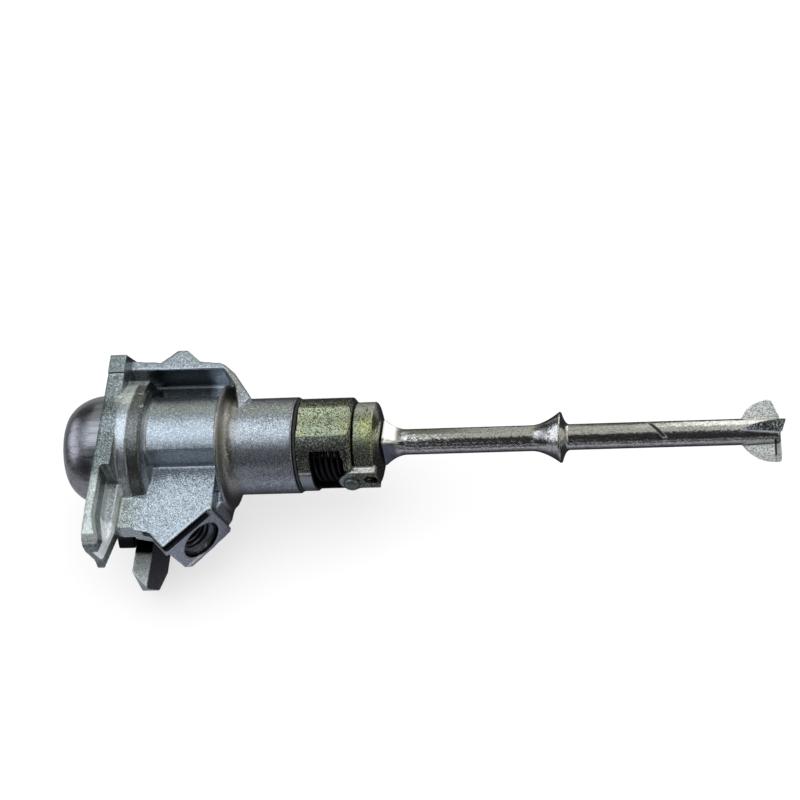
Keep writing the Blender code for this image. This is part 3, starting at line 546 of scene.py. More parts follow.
# Painted light and shade: the foot's upper face is a painted highlight, its lower faces and the lower wing's fold are
# painted shade, and the dark rim is a painted reflection.
PLATING_COATS = (
    ("grained", (0.90, 0.89, 0.86), 1.0), ("coined", (0.88, 0.94, 0.94), 0.7), ("dark_spot", (0.12, 0.12, 0.10), 1.0),
    ("pitted", (0.10, 0.11, 0.11), 0.85), ("foot", (0.97, 0.96, 0.92), 1.0), ("foot_low_shade", (0.20, 0.215, 0.25), 1.0),
    ("rim_dark_reflection", (0.055, 0.065, 0.065), 1.0), ("wing_end", (0.30, 0.32, 0.32), 0.8),
    ("black_line", (0.02, 0.02, 0.02), 1.0), ("ink", (0.012, 0.012, 0.012), 1.0))
BLACK_LINE = {"fold": 1.0, "edges": 0.85}
print("places on the rod:", len(PLATING_PLACES))

# %% Bright plated rod
WING_TURN = math.radians(22)
PEN_X = 130.6
PEN_TURN = math.radians(-8.0)
PEN_SLANT = 0.95
SPECK_MM, SPECKLE_MM, PIT_MM, DENT_MM = 0.26, 0.35, 0.17, 1.4


def bright_plating():
    finish = Finish("bright_plating")
    place = place_mm(finish)
    x, y, z = axes(finish, place)
    facing = axes(finish, finish.add("ShaderNodeTexCoord", output="Normal"))
    crystals = facets(finish, stretched(finish, place, 0.6, 1.0, 1.0), SPECK_MM)
    speckle = noise(finish, place, SPECKLE_MM, detail=4.0, rough=0.65)
    dents = noise(finish, stretched(finish, place, 0.35, 1.0, 1.0), DENT_MM, detail=2.0)
    across = z * math.sin(PEN_TURN) - y * math.cos(PEN_TURN)
    on = places(finish, {
        "x": x, "y": y, "z": z, "radius": (y * y + z * z).math("SQRT"), "facing_z": facing[2], "speckle": speckle,
        "spot": axes(finish, crystals)[0], "pit": axes(finish, facets(finish, place, PIT_MM))[0],
        "raised": z * math.cos(WING_TURN) - y * math.sin(WING_TURN),
        "rim_facing": facing[2] * math.cos(WING_TURN) - facing[1] * math.sin(WING_TURN),
        "pointiness": finish.add("ShaderNodeNewGeometry", output="Pointiness"),
        "stroke": (x - PEN_X - PEN_SLANT * across).math("ABSOLUTE"), "across": across.math("ABSOLUTE")},
        PLATING_PLACES, PLATING_WITHIN)
    coined, ink, foot = on["coined"], on["ink"], on["foot"]
    on["dark_spot"] = on["dark_spot"] * (0.4 + 0.1 * coined)
    # black line: painted shade at the lower wing's fold, and darker along the wings' sharp edges
    on["black_line"] = weighted(on, BLACK_LINE).math("MINIMUM", 1.0)
    return surface(finish, base_color=coated(finish, PLATING_DARK, on, PLATING_COATS),
                   metallic=1 - ink - 0.8 * foot - 0.4 * coined * (1 - on["rim"]),
                   roughness=0.12 + 0.12 * speckle + 0.2 * ink + 0.2 * coined + 0.3 * foot,
                   normal=tilted(finish, crystals, 0.13, bump(finish, dents + 0.5 * speckle, 0.3, 0.045)))


plating = bright_plating()

# %% [markdown]
# ## The small finishes
# Brass for the wafers, oiled spring wire, pin steel and black rubber. The spring wire is near
# black, partly oiled steel and partly painted shade for the coil inside the sleeve. Each still has
# its own grain, because they show through the window and between the parts.

# %% Brass, spring wire, pin steel, rubber
def plain_finish(name, dark, pale, roughness, metallic, grain_mm, depth_mm):
    finish = Finish(name)
    place = place_mm(finish)
    grain = noise(finish, place, grain_mm, detail=3.0, rough=0.6)
    base = blend(finish, dark, pale, soft_step(finish, grain, 0.3, 0.7))
    return surface(finish, base_color=base, metallic=metallic, roughness=roughness + 0.15 * grain,
                   normal=bump(finish, grain, 0.4, depth_mm))


brass = plain_finish("wafer_brass", (0.50, 0.38, 0.18), (0.72, 0.58, 0.32), 0.25, 1.0, 0.5, 0.03)
# Near black: oiled steel, and painted shade for the coil inside the sleeve.
spring_wire = plain_finish("oiled_spring_wire_painted_shade", (0.012, 0.012, 0.014), (0.05, 0.05, 0.055), 0.30, 1.0, 0.4, 0.03)
pin_steel = plain_finish("pin_steel", (0.17, 0.20, 0.19), (0.33, 0.37, 0.36), 0.34, 1.0, 0.35, 0.03)
rubber = plain_finish("black_rubber", (0.010, 0.010, 0.011), (0.03, 0.03, 0.032), 0.55, 0.0, 0.3, 0.02)

# %% [markdown]
# ## Studio
# A floor, one large soft lamp overhead, a dome and cards. The white background comes from
# the world and the floor as the camera sees them, and the floor is still a matte surface
# that takes a shadow. Metal has no colour without something to mirror, so a photographer
# hangs cards round it, out of the picture. The dome is painted as the room: olive at the far
# side, violet-grey and black in front, pale at the cap's side. Mats lie on the floor, a pale
# card hangs overhead, and a small roof and a far card stand about the rod. Only mirror rays
# can see them, so they don't light the floor or throw a shadow.

# %% Floor and glow
FLOOR_Z = cad_bounds[0][2]
FLOOR_WHITENESS = 0.62


def seen_directly(finish):
    """1 for camera, mirror and transmission rays, and 0 for the rays that carry soft light."""
    total = finish.add("ShaderNodeLightPath", output="Is Camera Ray")
    for name in ("Is Glossy Ray", "Is Transmission Ray"):
        total = total + finish.add("ShaderNodeLightPath", output=name)
    return total.math("MINIMUM", 1.0)


def pale_floor():
    finish = Finish("pale_floor")
    matte = finish.add("ShaderNodeBsdfDiffuse", None, {"Color": (0.9, 0.9, 0.9, 1.0)})
    white = finish.add("ShaderNodeEmission", None, {"Color": (1.0, 1.0, 1.0, 1.0)})
    shader = finish.add("ShaderNodeMixShader", None, {0: seen_directly(finish) * FLOOR_WHITENESS, 1: matte, 2: white})
    finish.add("ShaderNodeOutputMaterial", None, {"Surface": shader})
    return finish.material


def glowing(name, make_colour):
    finish = Finish(name)
    glow = finish.add("ShaderNodeEmission", None, {"Color": make_colour(finish)})
    finish.add("ShaderNodeOutputMaterial", None, {"Surface": glow})
    return finish.material


def along(axis, *stops):
    """A colour that goes softly from stop to stop, each a (place, colour), along one axis of the world.

    A stop's colour may change along another axis in its turn.
    """
    def make(finish):
        value = axes(finish, finish.add("ShaderNodeNewGeometry", output="Position"))[axis]
        stations = [station for station, shade in stops]
        shades = [shade(finish) if callable(shade) else shade for station, shade in stops]
        mixed = shades[0]
        for start, end, shade in zip(stations, stations[1:], shades[1:]):
            mixed = blend(finish, mixed, shade, soft_step(finish, value, start, end))
        return mixed
    return make


print("floor at", round(FLOOR_Z, 4))

# %% [markdown]
# ## Sheets
# The floor and each card are one flat face. A face needs no more than four corners, so a
# small mesh is quicker here than a primitive that has to be scaled and turned.

# %% Sheets
def mirror_only(obj):
    """Only mirror rays see this object: no camera, no light and no shadow."""
    obj.visible_camera = False
    obj.visible_diffuse = False
    obj.visible_transmission = False
    obj.visible_volume_scatter = False
    obj.visible_shadow = False


def mesh_object(name, bm, finish, smooth=False):
    mesh = bpy.data.meshes.new(name)
    bm.to_mesh(mesh)
    bm.free()
    mesh.materials.append(finish)
    for face in mesh.polygons:
        face.use_smooth = smooth
    made = bpy.data.objects.new(name, mesh)
    bpy.context.scene.collection.objects.link(made)
    return made


def sheet(name, corners, finish):
    """A flat four-sided sheet; its corners are in metres."""
    bm = bmesh.new()
    bm.faces.new([bm.verts.new(corner) for corner in corners])
    return mesh_object(name, bm, finish)


def level_sheet(name, x_range, y_range, height, finish):
    (x0, x1), (y0, y1) = x_range, y_range
    return sheet(name, ((x0, y0, height), (x1, y0, height), (x1, y1, height), (x0, y1, height)), finish)


floor = level_sheet("floor", (-1.4, 1.6), (-1.5, 1.5), FLOOR_Z, pale_floor())
print("floor of", len(floor.data.polygons), "face")

# %% [markdown]
# ## The painted dome
# The dome's colour depends on the direction only, so every band below is a range of X, Y or
# Z of a unit vector. A wall in front, a wall at the far side and a roof are mixed by Y and Z.

# %% Dome
DOME_RADIUS = 1.2
DOME_BLACK = (0.02, 0.02, 0.025)
FRONT_LOW, FRONT_LOW_REAR, FRONT_HIGH_REAR = (0.32, 0.33, 0.36), (0.07, 0.07, 0.08), (0.28, 0.29, 0.33)
FAR_OLIVE, FAR_PALE, FAR_BY_CAP = (0.17, 0.165, 0.13), (0.56, 0.58, 0.51), (0.04, 0.04, 0.04)
BESIDE_CAP, BESIDE_ROD = (1.15, 1.20, 1.34), (0.66, 0.63, 0.56)
ROOF_REAR, ROOF_CAP = (0.38, 0.39, 0.40), (0.96, 1.01, 1.12)


def front_wall(finish, x, z):
    wall = blend(finish, FRONT_LOW, FRONT_LOW_REAR, soft_step(finish, x, -0.15, -0.08))
    wall = blend(finish, wall, DOME_BLACK, soft_step(finish, z, 0.08, 0.24))
    wall = blend(finish, wall, DOME_BLACK, soft_step(finish, x, -0.40, -0.50))
    above_rear = between(finish, z, 0.46, 0.58, 0.10) * between(finish, x, -0.34, -0.11, 0.02)
    return blend(finish, wall, FRONT_HIGH_REAR, above_rear)


def far_wall(finish, x, z):
    wall = blend(finish, FAR_OLIVE, FAR_PALE, soft_step(finish, z, 0.08, 0.24))
    return blend(finish, FAR_BY_CAP, wall, soft_step(finish, x, -0.44, -0.30))


def dome_colour(finish):
    """What the metal mirrors where no card hangs."""
    coords = finish.add("ShaderNodeTexCoord", output="Object")
    x, y, z = axes(finish, vector_math(finish, "NORMALIZE", coords))
    walls = blend(finish, front_wall(finish, x, z), far_wall(finish, x, z), soft_step(finish, y, -0.5, 0.5))
    beside_cap = soft_step(finish, x, -0.72, -0.85) * between(finish, z, 0.16, 0.46, 0.12)
    walls = blend(finish, walls, BESIDE_CAP, beside_cap * soft_step(finish, y, -0.50, -0.25))
    beside_rod = soft_step(finish, x, 0.36, 0.60) * between(finish, z, 0.36, 0.72, 0.15)
    walls = blend(finish, walls, BESIDE_ROD, beside_rod)
    roof = blend(finish, ROOF_REAR, ROOF_CAP, soft_step(finish, x, -0.37, -0.45))
    return blend(finish, walls, roof, soft_step(finish, z, 0.45, 0.95) * soft_step(finish, y, -0.75, -0.35))


bm = bmesh.new()
bmesh.ops.create_uvsphere(bm, u_segments=48, v_segments=24, radius=DOME_RADIUS)
mirror_only(mesh_object("dark_dome", bm, glowing("dome_card", dome_colour), smooth=True))
print("dome radius", DOME_RADIUS)

# %% [markdown]
# ## Mats and cards
# Each level card is a name, a range in X and in Y, a height, the axis along which its colour
# changes, and the colour's stops. All lengths are in metres. The rod's far card leans, and
# its colour changes along the rod and, behind the shank's end, also with the height.

# %% Mats and cards
X_AXIS, Y_AXIS, Z_AXIS = range(3)
MAT_TOP = FLOOR_Z + 0.0002
ROD_CARD_TOP = 0.115
MAT_LIT = (0.35, 0.36, 0.42)
FAR_GREY = (0.44, 0.44, 0.41)
LEVEL_CARDS = (
    ("shade_mat", (-0.005, 0.6), (-0.5, 0.5), MAT_TOP, Y_AXIS,
     ((-0.085, (0.055, 0.055, 0.06)), (-0.062, MAT_LIT), (-0.045, MAT_LIT), (-0.005, (0.03, 0.03, 0.035)))),
    ("cap_mat", (-0.8, -0.005), (-0.8, 0.8), MAT_TOP, X_AXIS,
     ((-0.15, (0.07, 0.07, 0.075)), (-0.09, (0.39, 0.40, 0.43)))),
    ("overhead_card", (-0.33, 0.47), (-0.30, 0.32), 0.55, Y_AXIS,
     ((-0.29, (0.22, 0.24, 0.27)), (-0.12, (1.16, 1.26, 1.36)))),
    ("rod_roof_card", (0.047, 0.163), (-0.16, 0.075), ROD_CARD_TOP, Y_AXIS,
     ((-0.036, (0.02, 0.02, 0.02)), (-0.014, (0.44, 0.44, 0.42)))))
FAR_CARD = ((0.045, 0.115, FLOOR_Z), (0.195, 0.115, FLOOR_Z),
            (0.195, 0.075, ROD_CARD_TOP), (0.045, 0.075, ROD_CARD_TOP))
BEHIND_SHANK = along(Z_AXIS, (0.018, (0.05, 0.05, 0.045)), (0.046, FAR_GREY))
BEHIND_WINGS = along(Z_AXIS, (-0.01, (0.15, 0.15, 0.14)), (0.015, (1.25, 1.25, 1.22)))

for name, x_range, y_range, height, axis, stops in LEVEL_CARDS:
    mirror_only(level_sheet(name, x_range, y_range, height, glowing(name + "_glow", along(axis, *stops))))
mirror_only(sheet("rod_far_card", FAR_CARD, glowing("rod_far_glow", along(
    X_AXIS, (0.058, (0.13, 0.13, 0.11)), (0.078, FAR_GREY), (0.122, BEHIND_SHANK), (0.136, BEHIND_WINGS)))))

print("mats and cards:", len(LEVEL_CARDS) + 1)

# %% [markdown]
# ## The world
# The camera looks past the floor's edge into an even white. The Standard view transform
# keeps that white at full brightness; a filmic one would turn it grey.

# %% World
world = bpy.data.worlds.new("studio")
bpy.context.scene.world = world
world.use_nodes = True
background = world.node_tree.nodes["Background"].inputs
background["Color"].default_value = (1.0, 1.0, 1.0, 1.0)
background["Strength"].default_value = 1.0
bpy.context.scene.view_settings.view_transform = "Standard"
print("world", world.name)

# %% [markdown]
# ## The lamp
# One broad soft box hangs over the rod. Mirror rays don't see it, because the overhead card
# already stands for it in the metal.

# %% Lamp
LAMP_PLACE = (0.06, 0.03, 0.55)
LAMP_SIZE = (0.75, 0.62)
LAMP_WATTS = 1.9

lamp = bpy.data.lights.new("overhead_softbox", "AREA")
lamp.shape = "RECTANGLE"
lamp.size, lamp.size_y = LAMP_SIZE
lamp.energy = LAMP_WATTS
softbox = bpy.data.objects.new("overhead_softbox", lamp)
softbox.location = LAMP_PLACE
softbox.visible_camera = False
softbox.visible_glossy = False
bpy.context.scene.collection.objects.link(softbox)
print("lamp", softbox.name, "at", LAMP_PLACE)

# %% [markdown]
# ## Softened edges
# A die casting has no razor edges: the steel mould is rounded, and tumbling rounds the rest.
# A Bevel modifier would need clean edge loops, and solids that come out of boolean cuts have
# none. So the skin is rebuilt from small even cells (a voxel remesh), smoothed a little, and
# then the turned faces, which the solid holds as flats, are trued up to real circles.

# %% Pieces and modifiers
def piece_from(name, bm, finish, body, replaced=()):
    """A finished piece in metres that rides on a body and stands for its solids."""
    mesh = bpy.data.meshes.new(name)
    bm.to_mesh(mesh)
    bm.free()
    mesh.materials.append(finish)
    mesh.shade_smooth()
    made = bpy.data.objects.new(name, mesh)
    bpy.context.scene.collection.objects.link(made)
    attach(made, body)
    if replaced:
        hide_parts(*replaced)
    return made


def modified(mesh, steps):
    """The mesh that comes out of a row of modifiers, each with its settings."""
    holder = bpy.data.objects.new("bench", mesh)
    bpy.context.scene.collection.objects.link(holder)
    for kind, settings in steps:
        modifier = holder.modifiers.new(kind, kind)
        for key, value in settings.items():
            setattr(modifier, key, value)
    result = bpy.data.meshes.new_from_object(holder.evaluated_get(bpy.context.evaluated_depsgraph_get()))
    bpy.data.objects.remove(holder)
    return result


# %% Recast a solid
def true_up(bm, profile, reach_mm=0.07):
    """Moves points that lie near a turned face exactly on to it; the profile is in millimetres."""
    moved = 0
    for vert in bm.verts:
        x, radius = vert.co.x / MM, math.hypot(vert.co.y, vert.co.z) / MM
        for (x0, r0), (x1, r1) in profile:
            if x0 < x < x1:
                wanted = r0 + (r1 - r0) * (x - x0) / (x1 - x0)
                if abs(radius - wanted) < reach_mm:
                    vert.co.y *= wanted / radius
                    vert.co.z *= wanted / radius
                    moved += 1
    return moved


def recast(node, voxel_mm, rounds, profile, added=None, kept=1.0):
    """A bmesh copy of a solid with softened edges and true turned faces; kept is the share of triangles."""
    source = nodes[node].data.copy()
    if added:
        bm = bmesh.new()
        bm.from_mesh(source)
        bm.from_mesh(added)
        bm.to_mesh(source)
        bm.free()
    mesh = modified(source, [
        ("REMESH", {"mode": "VOXEL", "voxel_size": voxel_mm * MM, "use_smooth_shade": True}),
        ("SMOOTH", {"factor": 0.5, "iterations": rounds}),
        ("DECIMATE", {"ratio": kept})])
    bm = bmesh.new()
    bm.from_mesh(mesh)
    moved = true_up(bm, profile)
    print(node, "recast:", sum(len(face.verts) - 2 for face in bm.faces), "triangles,", moved, "points trued up")
    return bm


# %% Rings and dents
def joined(bm, rings, endless=False):
    """Faces from ring to ring of points; the last ring meets the first one, or both ends get a face."""
    for one, two in zip(rings, rings[1:] + rings[:1] if endless else rings[1:]):
        for k in range(len(one)):
            nxt = (k + 1) % len(one)
            bm.faces.new((one[k], one[nxt], two[nxt], two[k]))
    if not endless:
        bm.faces.new(rings[0])
        bm.faces.new(reversed(rings[-1]))
    bmesh.ops.recalc_face_normals(bm, faces=bm.faces)
    return bm


def dent(bm, centre, reach, push):
    """Pushes the skin round one point, most in the middle; millimetres."""
    middle, shift = Vector(centre) * MM, Vector(push) * MM
    for vert in bm.verts:
        near = 1 - ((vert.co - middle).length / (reach * MM)) ** 2
        if near > 0:
            vert.co += shift * near ** 2


# %% [markdown]
# ## The casting
# Flange, collar, barrel, web, boss and rail are one zinc casting. Handling has chipped the
# flange's long edge; the chips are real dents in the skin, because a bump would not break
# the edge's outline.

# %% Casting
BARREL = ((7.2, 12.9), (24.0, 12.9))
COLLAR = ((-3.6, 16.3), (2.55, 16.3))
COLLAR_BAND = ((2.95, 15.95), (5.55, 15.7))
REAR_BARREL = ((28.4, 11.9), (43.0, 11.9))
BORE = ((-6.0, 7.0), (34.2, 7.0))
NOSE = ((-9.6, 12.9), (-4.3, 12.9))
CASTING_VOXEL_MM = 0.3
CASTING_KEPT = 0.56
CHIPS = (((-0.2, 5.6, 15.7), 0.9, (-0.5, 0.0, -0.5)), ((-0.1, 6.9, 15.7), 0.7, (-0.4, 0.1, -0.5)),
         ((-1.9, 12.8, 15.7), 0.6, (0.1, 0.2, -0.4)), ((-0.1, 3.4, 15.7), 0.5, (-0.2, 0.0, -0.3)))

turned_faces = (BARREL, COLLAR, COLLAR_BAND, REAR_BARREL, BORE, NOSE)
bm = recast("housing", CASTING_VOXEL_MM, 3, turned_faces, kept=CASTING_KEPT)
for centre, reach, push in CHIPS:
    dent(bm, centre, reach, push)
casting = piece_from("lock_casting", bm, zinc, "housing", ["housing"])
print(casting.name, "with", len(CHIPS), "chips")

# %% [markdown]
# ## The screw thread
# The fixing screw cuts into the boss. A thread is one ridge wound round the wall, so it is
# built as a strip of ridge sections that climb by one pitch on every turn and fade at both
# ends. The foot of each section lies a little inside the wall.

# %% Screw thread
THREAD_PITCH = 1.25
THREAD_DEPTH = 0.55
THREAD_STEPS = 48
FADE_STEPS = 12
THREAD_TURNS = 5.5
THREAD_START = 2.2
HOLE_R = 3.7
FOOT_R, FOOT_HALF, CREST_HALF = HOLE_R + 0.15, 0.55, 0.08


def screw_thread(turns, start_mm):
    bm = bmesh.new()
    side = hole_axis.cross(Vector((0, 0, 1))).normalized()
    up = side.cross(hole_axis)
    rings = []
    for k in range(int(turns * THREAD_STEPS) + 1):
        angle = 2 * math.pi * k / THREAD_STEPS
        out = side * math.cos(angle) + up * math.sin(angle)
        depth = start_mm + THREAD_PITCH * k / THREAD_STEPS
        fade = min(1.0, k / FADE_STEPS, (turns * THREAD_STEPS - k) / FADE_STEPS + 0.05)
        crest = HOLE_R - THREAD_DEPTH * fade
        section = ((FOOT_R, -FOOT_HALF), (crest, -CREST_HALF), (crest, CREST_HALF), (FOOT_R, FOOT_HALF))
        rings.append([bm.verts.new(hole_mouth + (out * r + hole_axis * (depth + d)) * MM) for r, d in section])
    return joined(bm, rings)


thread = piece_from("screw_thread", screw_thread(THREAD_TURNS, THREAD_START), zinc, "housing")
print("thread", len(thread.data.polygons), "faces at", [round(v / MM, 1) for v in hole_mouth])

# %% [markdown]
# ## Turned pieces
# The cap, the seal rings and the washer are plain rings seen from the outside. Each is one
# profile, drawn in the plane of the axis and revolved in fine steps, so that no flats show
# where light slides along them.

# %% Turned pieces
def revolve(profile, segments=144):
    """Turns a closed loop of (x, radius) points in millimetres about the X axis."""
    bm = bmesh.new()
    rings = []
    for x, radius in profile:
        turns = [2 * math.pi * k / segments for k in range(segments)]
        rings.append([bm.verts.new((x * MM, radius * MM * math.cos(a), radius * MM * math.sin(a))) for a in turns])
    return joined(bm, rings, endless=True)


def rounded_ring(start, end, inner, outer, corner, steps=4):
    """The section of a flat ring whose four corners are rounded."""
    centres = ((end - corner, outer - corner, 0), (start + corner, outer - corner, 1),
               (start + corner, inner + corner, 2), (end - corner, inner + corner, 3))
    points = []
    for x, radius, quarter in centres:
        for k in range(steps + 1):
            angle = math.pi / 2 * (quarter + k / steps)
            points.append((x + corner * math.cos(angle), radius + corner * math.sin(angle)))
    return points


def radii(node):
    """The two ends and the inner and outer radius of a ring-shaped solid, in millimetres."""
    reach = [math.hypot(v.co.y, v.co.z) / MM for v in nodes[node].data.vertices]
    low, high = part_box(node)
    return low[0] / MM, high[0] / MM, min(reach), max(reach)


def ring_piece(name, node, finish, body, corner):
    start, end, inner, outer = radii(node)
    print(name, "from", round(start, 2), "to", round(end, 2), "radius", round(inner, 2), "to", round(outer, 2))
    return piece_from(name, revolve(rounded_ring(start, end, inner, outer, corner)), finish, body, [node])


# %% [markdown]
# ## The cap's outline
# The drawn front is fuller than a quarter circle, so it follows a superellipse: the powers
# of sine and cosine are below one. The inside is the same curve, one sheet thickness in.

# %% Cap and rings
CAP_SHEET, CAP_SKIRT, CAP_FACE_R = 0.55, 2.2, 7.9
CAP_STEPS, CAP_FULLNESS = 28, 1.8
EDGE_R, HEM, LIP_R = 0.12, 0.3, 0.22


def cap_profile():
    """Skirt, large front radius, flat face and rolled-in lip of the cap, outside and inside."""
    start, end, inner, outer = radii("face_cap")
    skirt_x = end - CAP_SKIRT
    depth, width = skirt_x - start, outer - CAP_FACE_R
    outside, inside = [(end - EDGE_R, outer), (end - EDGE_R - HEM, outer)], [(end, outer - CAP_SHEET)]
    for k in range(CAP_STEPS + 1):
        forward = math.sin(math.pi / 2 * k / CAP_STEPS) ** (2 / CAP_FULLNESS)
        outward = math.cos(math.pi / 2 * k / CAP_STEPS) ** (2 / CAP_FULLNESS)
        outside.append((skirt_x - depth * forward, CAP_FACE_R + width * outward))
        inside.append((skirt_x - (depth - CAP_SHEET) * forward, CAP_FACE_R + (width - CAP_SHEET) * outward))
    lip = [(start, inner + LIP_R), (start + 0.07, inner + 0.07), (start + LIP_R, inner), (start + CAP_SHEET, inner)]
    return [(end, outer - EDGE_R)] + outside + lip + inside[::-1]


piece_from("face_cap_turned", revolve(cap_profile(), 192), cap_steel, "housing", ["face_cap"])
ring_piece("gasket_ring", "cap_gasket", rubber, "housing", 0.2)
ring_piece("running_seam_ring", "seam_ring", rubber, "housing", 0.22)
ring_piece("brass_thrust_washer", "thrust_washer", brass, "housing", 0.12)

# %% [markdown]
# ## The driver sleeve, the cam and the lug
# These two are cast as well, with a yellow chromate. They get the same treatment as the
# casting, in finer cells, because their window and notch have thin walls. The lug gets its
# round nose before the recast: a short drum about the cross pin.

# %% Driver sleeve and cam
SLEEVE_OUTSIDE = ((44.1, 11.4), (56.5, 11.4))
SLEEVE_INSIDE = ((44.1, 9.5), (55.4, 9.5))
CAM_RIM = ((58.05, 10.1), (62.25, 10.1))
CAM_FACE = ((62.65, 9.76), (63.5, 6.7))
SPIGOT = ((54.4, 6.2), (57.6, 6.2))
CHROMATE_VOXEL_MM = 0.19

piece_from("driver_sleeve_cast", recast("driver_sleeve", CHROMATE_VOXEL_MM, 2, (SLEEVE_OUTSIDE, SLEEVE_INSIDE)),
           chromate, "driver", ["driver_sleeve"])
pin_low, pin_high = (Vector(corner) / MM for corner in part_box("cross_pin"))
pin_x, pin_z = (pin_low.x + pin_high.x) / 2, (pin_low.z + pin_high.z) / 2
KNUCKLE_R = 3.2
KNUCKLE_Y = (-10.9, -9.2)


def knuckle():
    """The round nose of the lug about the cross pin: a short drum along Y."""
    bm = bmesh.new()
    bmesh.ops.create_cone(bm, cap_ends=True, segments=64, radius1=KNUCKLE_R, radius2=KNUCKLE_R,
                          depth=KNUCKLE_Y[1] - KNUCKLE_Y[0])
    middle = Vector((pin_x, sum(KNUCKLE_Y) / 2, pin_z))
    turn = Matrix.Translation(middle) @ Matrix.Rotation(math.radians(90), 4, "X")
    bmesh.ops.transform(bm, matrix=Matrix.Scale(MM, 4) @ turn, verts=bm.verts)
    mesh = bpy.data.meshes.new("knuckle")
    bm.to_mesh(mesh)
    bm.free()
    return mesh


piece_from("end_cam_cast", recast("cam", CHROMATE_VOXEL_MM, 2, (CAM_RIM, CAM_FACE, SPIGOT), knuckle()),
           chromate, "driver", ["cam"])

# %% [markdown]
# ## The cross pin
# A headed pin holds the cam's lug. Its head is a low dome with a rounded rim. The dome is
# revolved about the pin's own axis, along Y, so the points are turned after revolving.

# %% Cross pin
HEAD_R = (pin_high.x - pin_low.x) / 2
HEAD_RISE = 1.2
HEAD_DEPTH = 1.2
PIN_SHANK_R = 0.9
POINT_R = 0.05
TIP_CHAMFER = 0.2
DOME_STEPS = 12


def pin_section():
    """The pin's outline: along its own axis, and away from it."""
    start, end = pin_low.y, pin_high.y
    section = []
    for k in range(DOME_STEPS + 1):
        angle = math.pi / 2 * k / DOME_STEPS
        section.append((start - HEAD_RISE * math.cos(angle), POINT_R + (HEAD_R - POINT_R) * math.sin(angle)))
    neck = start + HEAD_DEPTH
    section += [(neck, HEAD_R), (neck, PIN_SHANK_R), (end - TIP_CHAMFER, PIN_SHANK_R)]
    return section + [(end, PIN_SHANK_R - TIP_CHAMFER), (end, POINT_R)]


bm = revolve(pin_section(), 48)
for vert in bm.verts:
    length, side, up = vert.co
    vert.co = (pin_x * MM + up, length, pin_z * MM + side)
bmesh.ops.recalc_face_normals(bm, faces=bm.faces)
piece_from("headed_cross_pin", bm, pin_steel, "driver", ["cross_pin"])
print("pin head radius", round(HEAD_R, 2), "at", round(pin_x, 2), round(pin_low.y, 2), round(pin_z, 2))

# %% [markdown]
# ## The springs
# A coil is a wire that goes round while it moves along. A curve object with a bevel could do
# it, but a spring has to fill the box of its solid exactly, so the wire is built ring by
# ring. Each end is closed with one flat face.

# %% Springs
def coil(turns, radius, wire, start, length, centre, axis, steps=40, sides=12):
    """One wire wound about a line along X or Z, in millimetres."""
    bm = bmesh.new()
    count = int(turns * steps)
    rings = []
    for k in range(count + 1):
        angle = 2 * math.pi * k / steps
        ring = []
        for j in range(sides):
            roll = 2 * math.pi * j / sides
            reach = radius + wire * math.cos(roll)
            climb = start + length * k / count + wire * math.sin(roll)
            a, b = reach * math.cos(angle), reach * math.sin(angle)
            point = (climb, a, b) if axis == "x" else (a, b, climb)
            ring.append(bm.verts.new((Vector(point) + Vector(centre)) * MM))
        rings.append(ring)
    return joined(bm, rings)


def spring_piece(name, node, body, wire, turns, axis, **detail):
    """A fine coil that fills the box of its coarse solid."""
    low, high = (Vector(corner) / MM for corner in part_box(node))
    centre = (low + high) / 2
    lengthwise = 0 if axis == "x" else 2
    across = 1 if axis == "x" else 0
    radius = (high[across] - low[across]) / 2 - wire
    start, length = low[lengthwise] + wire, high[lengthwise] - low[lengthwise] - 2 * wire
    centre[lengthwise] = 0
    bm = coil(turns, radius, wire, start, length, centre, axis, **detail)
    return piece_from(name, bm, spring_wire, body, [node])


spring_piece("torsion_spring", "return_spring", "driver", 0.6, 5, "x")

# %% [markdown]
# ## The rod
# The rod is forged in one blow from a bar: a square foot in the cam, a round shank, a stop
# collar like a small bell, and four wings coined out of its end. Shank and collar are a
# stack of rings whose section goes from a square to a circle; the wings are thin wedges
# that are joined to it, and the joint is softened as on the casting. A wing's outline is a
# row of (x, reach, half thickness), and no two of the seen wings are alike.

# %% Rod
ROD_SEGMENTS = 96
ROD_TILT = math.radians(34)
ROD_VOXEL_MM = 0.185
COLLAR_TOP_R, COLLAR_X, ROD_END_X = 6.2, 107.4, 159.5
ROOT_X, ROOT_REACH, ROOT_LENGTH = 63.9, 5.8, 6.0


